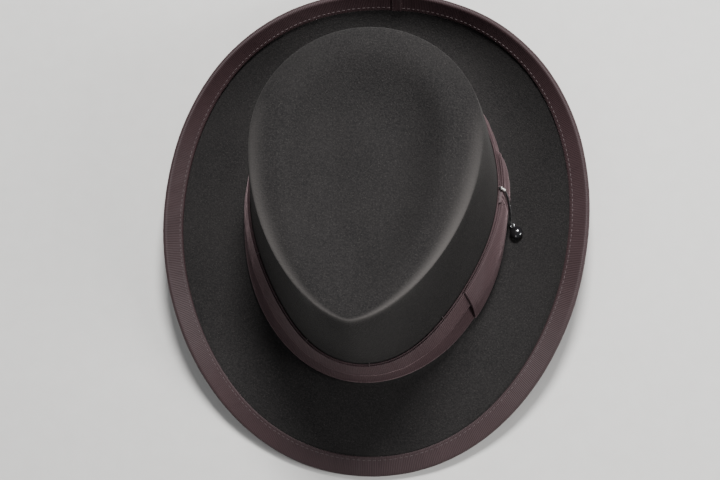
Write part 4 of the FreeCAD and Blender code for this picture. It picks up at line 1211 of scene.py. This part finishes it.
reed_angles = (2 * math.pi * np.arange(12) / 12)[:, None]
reed_points = inside_place(inside_turns, REED_HEIGHT + REED / 2 * np.sin(reed_angles),
                           SWEATBAND_INWARD + REED / 2 + REED / 2 * np.cos(reed_angles))
reed_uv = np.stack(np.broadcast_arrays(inside_along / 1000, reed_angles / 6.283 * 0.0069), -1).reshape(-1, 2)
make_piece("sweatband_reed_tape", reed_points.reshape(-1, 3), grid_faces(12, 720, wrap_rows=True), reed_uv,
           TAPE_FINISH, "reed_tape", ["sweatband_reed"])

leather_line = inside_place(np.arange(0, 360, 0.5), np.full(720, 3.4), FACE + 0.32)
leather_up = inside_place(np.arange(0, 360, 0.5), np.full(720, 3.4), FACE + 1.32) - leather_line
stitches("sweatband_stitches", leather_line, leather_up, 3.0, 0.7, THREAD, DARK_THREAD_FINISH,
         "sweatband_thread",
         ["sweatband_thread"])

# %% [markdown]
# The tape and its bow lie flat on the leather. The bow is two short loops and a wrap, pressed nearly flat.

# %% Tape and bow of the sweatband
TAPE, FACE_CLEARANCE = 0.4, 0.4


def inside_strip(turns, low, high, depth, thickness, name, slot, node, finish, rows=10):
    shares = np.linspace(0, 1, rows)[:, None]
    turn = np.asarray(turns)[None, :]
    height = low(turn) + (high(turn) - low(turn)) * shares
    layers = [inside_place(turn, height, depth(turn, shares) + thickness), inside_place(turn, height,
                                                                                      depth(turn, shares))]
    along = (turn - turn.min()) * 1.85
    return make_piece(name, *shell_between(*layers, False, along, height), finish, slot, node)


inside_strip(np.linspace(87, 93, 20), lambda t: 5.0 + 0 * t, lambda t: 36.0 + 0 * t,
             lambda t, s: FACE + FACE_CLEARANCE - 0.05 + 0.08 * np.sin(s * 9 + t), TAPE,
             "sweatband_join_tape",
             "reed_tape", ["sweatband_tape"], TAPE_FINISH, 40)


def bow_pinch(turn):
    return np.exp(-((turn - 90.0) / 1.6) ** 2)


inside_strip(np.linspace(83, 97, 48), lambda t: 7.2 + 1.4 * bow_pinch(t), lambda t: 13.3 - 1.4 * bow_pinch(t),
             lambda t, s: (FACE + FACE_CLEARANCE + TAPE + 0.3
                           + 0.25 * np.sin(math.pi * s) * (1 - bow_pinch(t))), 0.7,
             "sweatband_small_bow", "reed_tape", ["sweatband_bow"], TAPE_FINISH, 14)

# %% [markdown]
# The lining's wall is gathered, so its surface goes in and out in many shallow folds that fade towards the
# tip.

# %% Lining
LINING_FOOT = 30.0
lining_rows = 40
lining_turns = (np.arange(1080) / 3.0)[None, :]
top_level = 0.985 * by_side(RIM_HEIGHT, lining_turns[0])[None, :]
lining_shares = np.linspace(0, 1, lining_rows)[:, None]
lining_heights = LINING_FOOT + (np.minimum(top_level, 90.0) - LINING_FOOT) * lining_shares
gather = (0.35 * waves(lining_turns, 71, 22, 40, 120) + 0.2 * waves(lining_turns, 72, 22, 90, 200))
gather = gather * np.linspace(1.0, 0.35, lining_rows)[:, None]
lining_depth = FELT + LINING_INWARD + 0.55 + np.clip(gather, -0.5, 0.8)
lining_layers = [on_wall(lining_turns, lining_heights, -lining_depth - SATIN),
                 on_wall(lining_turns, lining_heights, -lining_depth)]
lining_along = np.interp(lining_turns[0], fine_turns, foot_length[:-1])[None, :]
lining_wall = make_piece("lining_wall", *shell_between(*lining_layers, True, lining_along, lining_heights),
                         SATIN_FINISH, "lining_satin", ["lining_side"])

TIP_EDGE, TIP_DROP = 0.955, FELT + 1.6
tip_turns = np.arange(360) * 1.0
tip_stations = [(TOP[-1], 0.0)] + [(station, TIP_EDGE) for station in reversed(TOP)]
tip_layers = []
for extra in (0.0, SATIN):
    tip_control = np.array([top_ring(turns, station, outline, TIP_DROP + extra)
                            for station, outline in tip_stations])
    tip_layers.append(surface(tip_control, np.linspace(0, 1, 60), tip_turns))
tip_grid = np.concatenate([tip_layers[0], tip_layers[1][::-1]])
tip_relief = 0.5 * (0.9 * hollow(tip_grid, 2, 24, 17, 34) - hollow(tip_grid, 30, 42, 15, 24)
                    - hollow(tip_grid, -30, 44, 15, 24)) - 0.3
tip_grid[..., 2] += tip_relief
tip_faces = grid_faces(len(tip_grid), 360)
tip_ring = np.arange(0, 360, 2)
tip_caps = [np.stack([tip_ring, np.full_like(tip_ring, 120 * 360), (tip_ring + 2) % 360, tip_ring + 1], -1),
            119 * 360 + np.stack([tip_ring, tip_ring + 1, (tip_ring + 2) % 360, 0 * tip_ring], -1)]
tip_caps[1][:, 3] = 120 * 360 + 1
tip_points = np.concatenate([tip_grid.reshape(-1, 3), [tip_grid[0].mean(0), tip_grid[-1].mean(0)]])
lining_tip = make_piece("lining_crown_tip", tip_points, np.concatenate([tip_faces] + tip_caps),
                        tip_points[:, :2] / 1000, SATIN_FINISH, "lining_satin", ["lining_tip"])

# %% [markdown]
# ## Floor and light
# Dark felt needs light from the side to be read at all. A broad soft light from behind the hat rakes over
# the crown, so the bash and the ridge in front of it show; a weaker one from the wearer's left picks out the
# ribbon. The floor is a plain pale sheet that curves up at nothing: the world's soft grey does the rest.

# %% Stage
def area_light(name, position, aim, size, power, colour=(1, 1, 1)):
    data = bpy.data.lights.new(name, "AREA")
    data.shape = "DISK"
    data.size = size
    data.energy = power
    data.color = colour
    light = bpy.data.objects.new(name, data)
    light.location = position
    light.rotation_euler = (Vector(aim) - Vector(position)).to_track_quat("-Z", "Y").to_euler()
    bpy.context.scene.collection.objects.link(light)
    return light


def floor_finish():
    f = Finish("floor_paper")
    grain = f.node("TexNoise", Vector=f.place(), Scale=90.0, Detail=3.0)
    return f.surface(Base_Color=f.mix(grain, rgb(0.55, 0.54, 0.52), rgb(0.60, 0.59, 0.57)), Roughness=0.85)


floor_mesh = bpy.data.meshes.new("floor")
floor_mesh.from_pydata([(-4, -4, 0), (4, -4, 0), (4, 4, 0), (-4, 4, 0)], [], [(0, 1, 2, 3)])
floor_mesh.materials.append(floor_finish())
floor = bpy.data.objects.new("floor", floor_mesh)
floor.location.z = -0.0003
bpy.context.scene.collection.objects.link(floor)

area_light("key_behind", (0.10, 0.70, 1.10), (0, 0.00, 0.06), 0.36, 36)
area_light("fill_left", (1.15, -0.25, 0.75), (0.02, -0.02, 0.04), 0.6, 16)
area_light("fill_front", (-0.5, -1.1, 0.9), (0, -0.05, 0.04), 1.0, 5.0)
world = bpy.data.worlds.new("studio")
world.use_nodes = True
world.node_tree.nodes["Background"].inputs[0].default_value = (0.80, 0.84, 0.90, 1)
world.node_tree.nodes["Background"].inputs[1].default_value = 0.22
bpy.context.scene.world = world
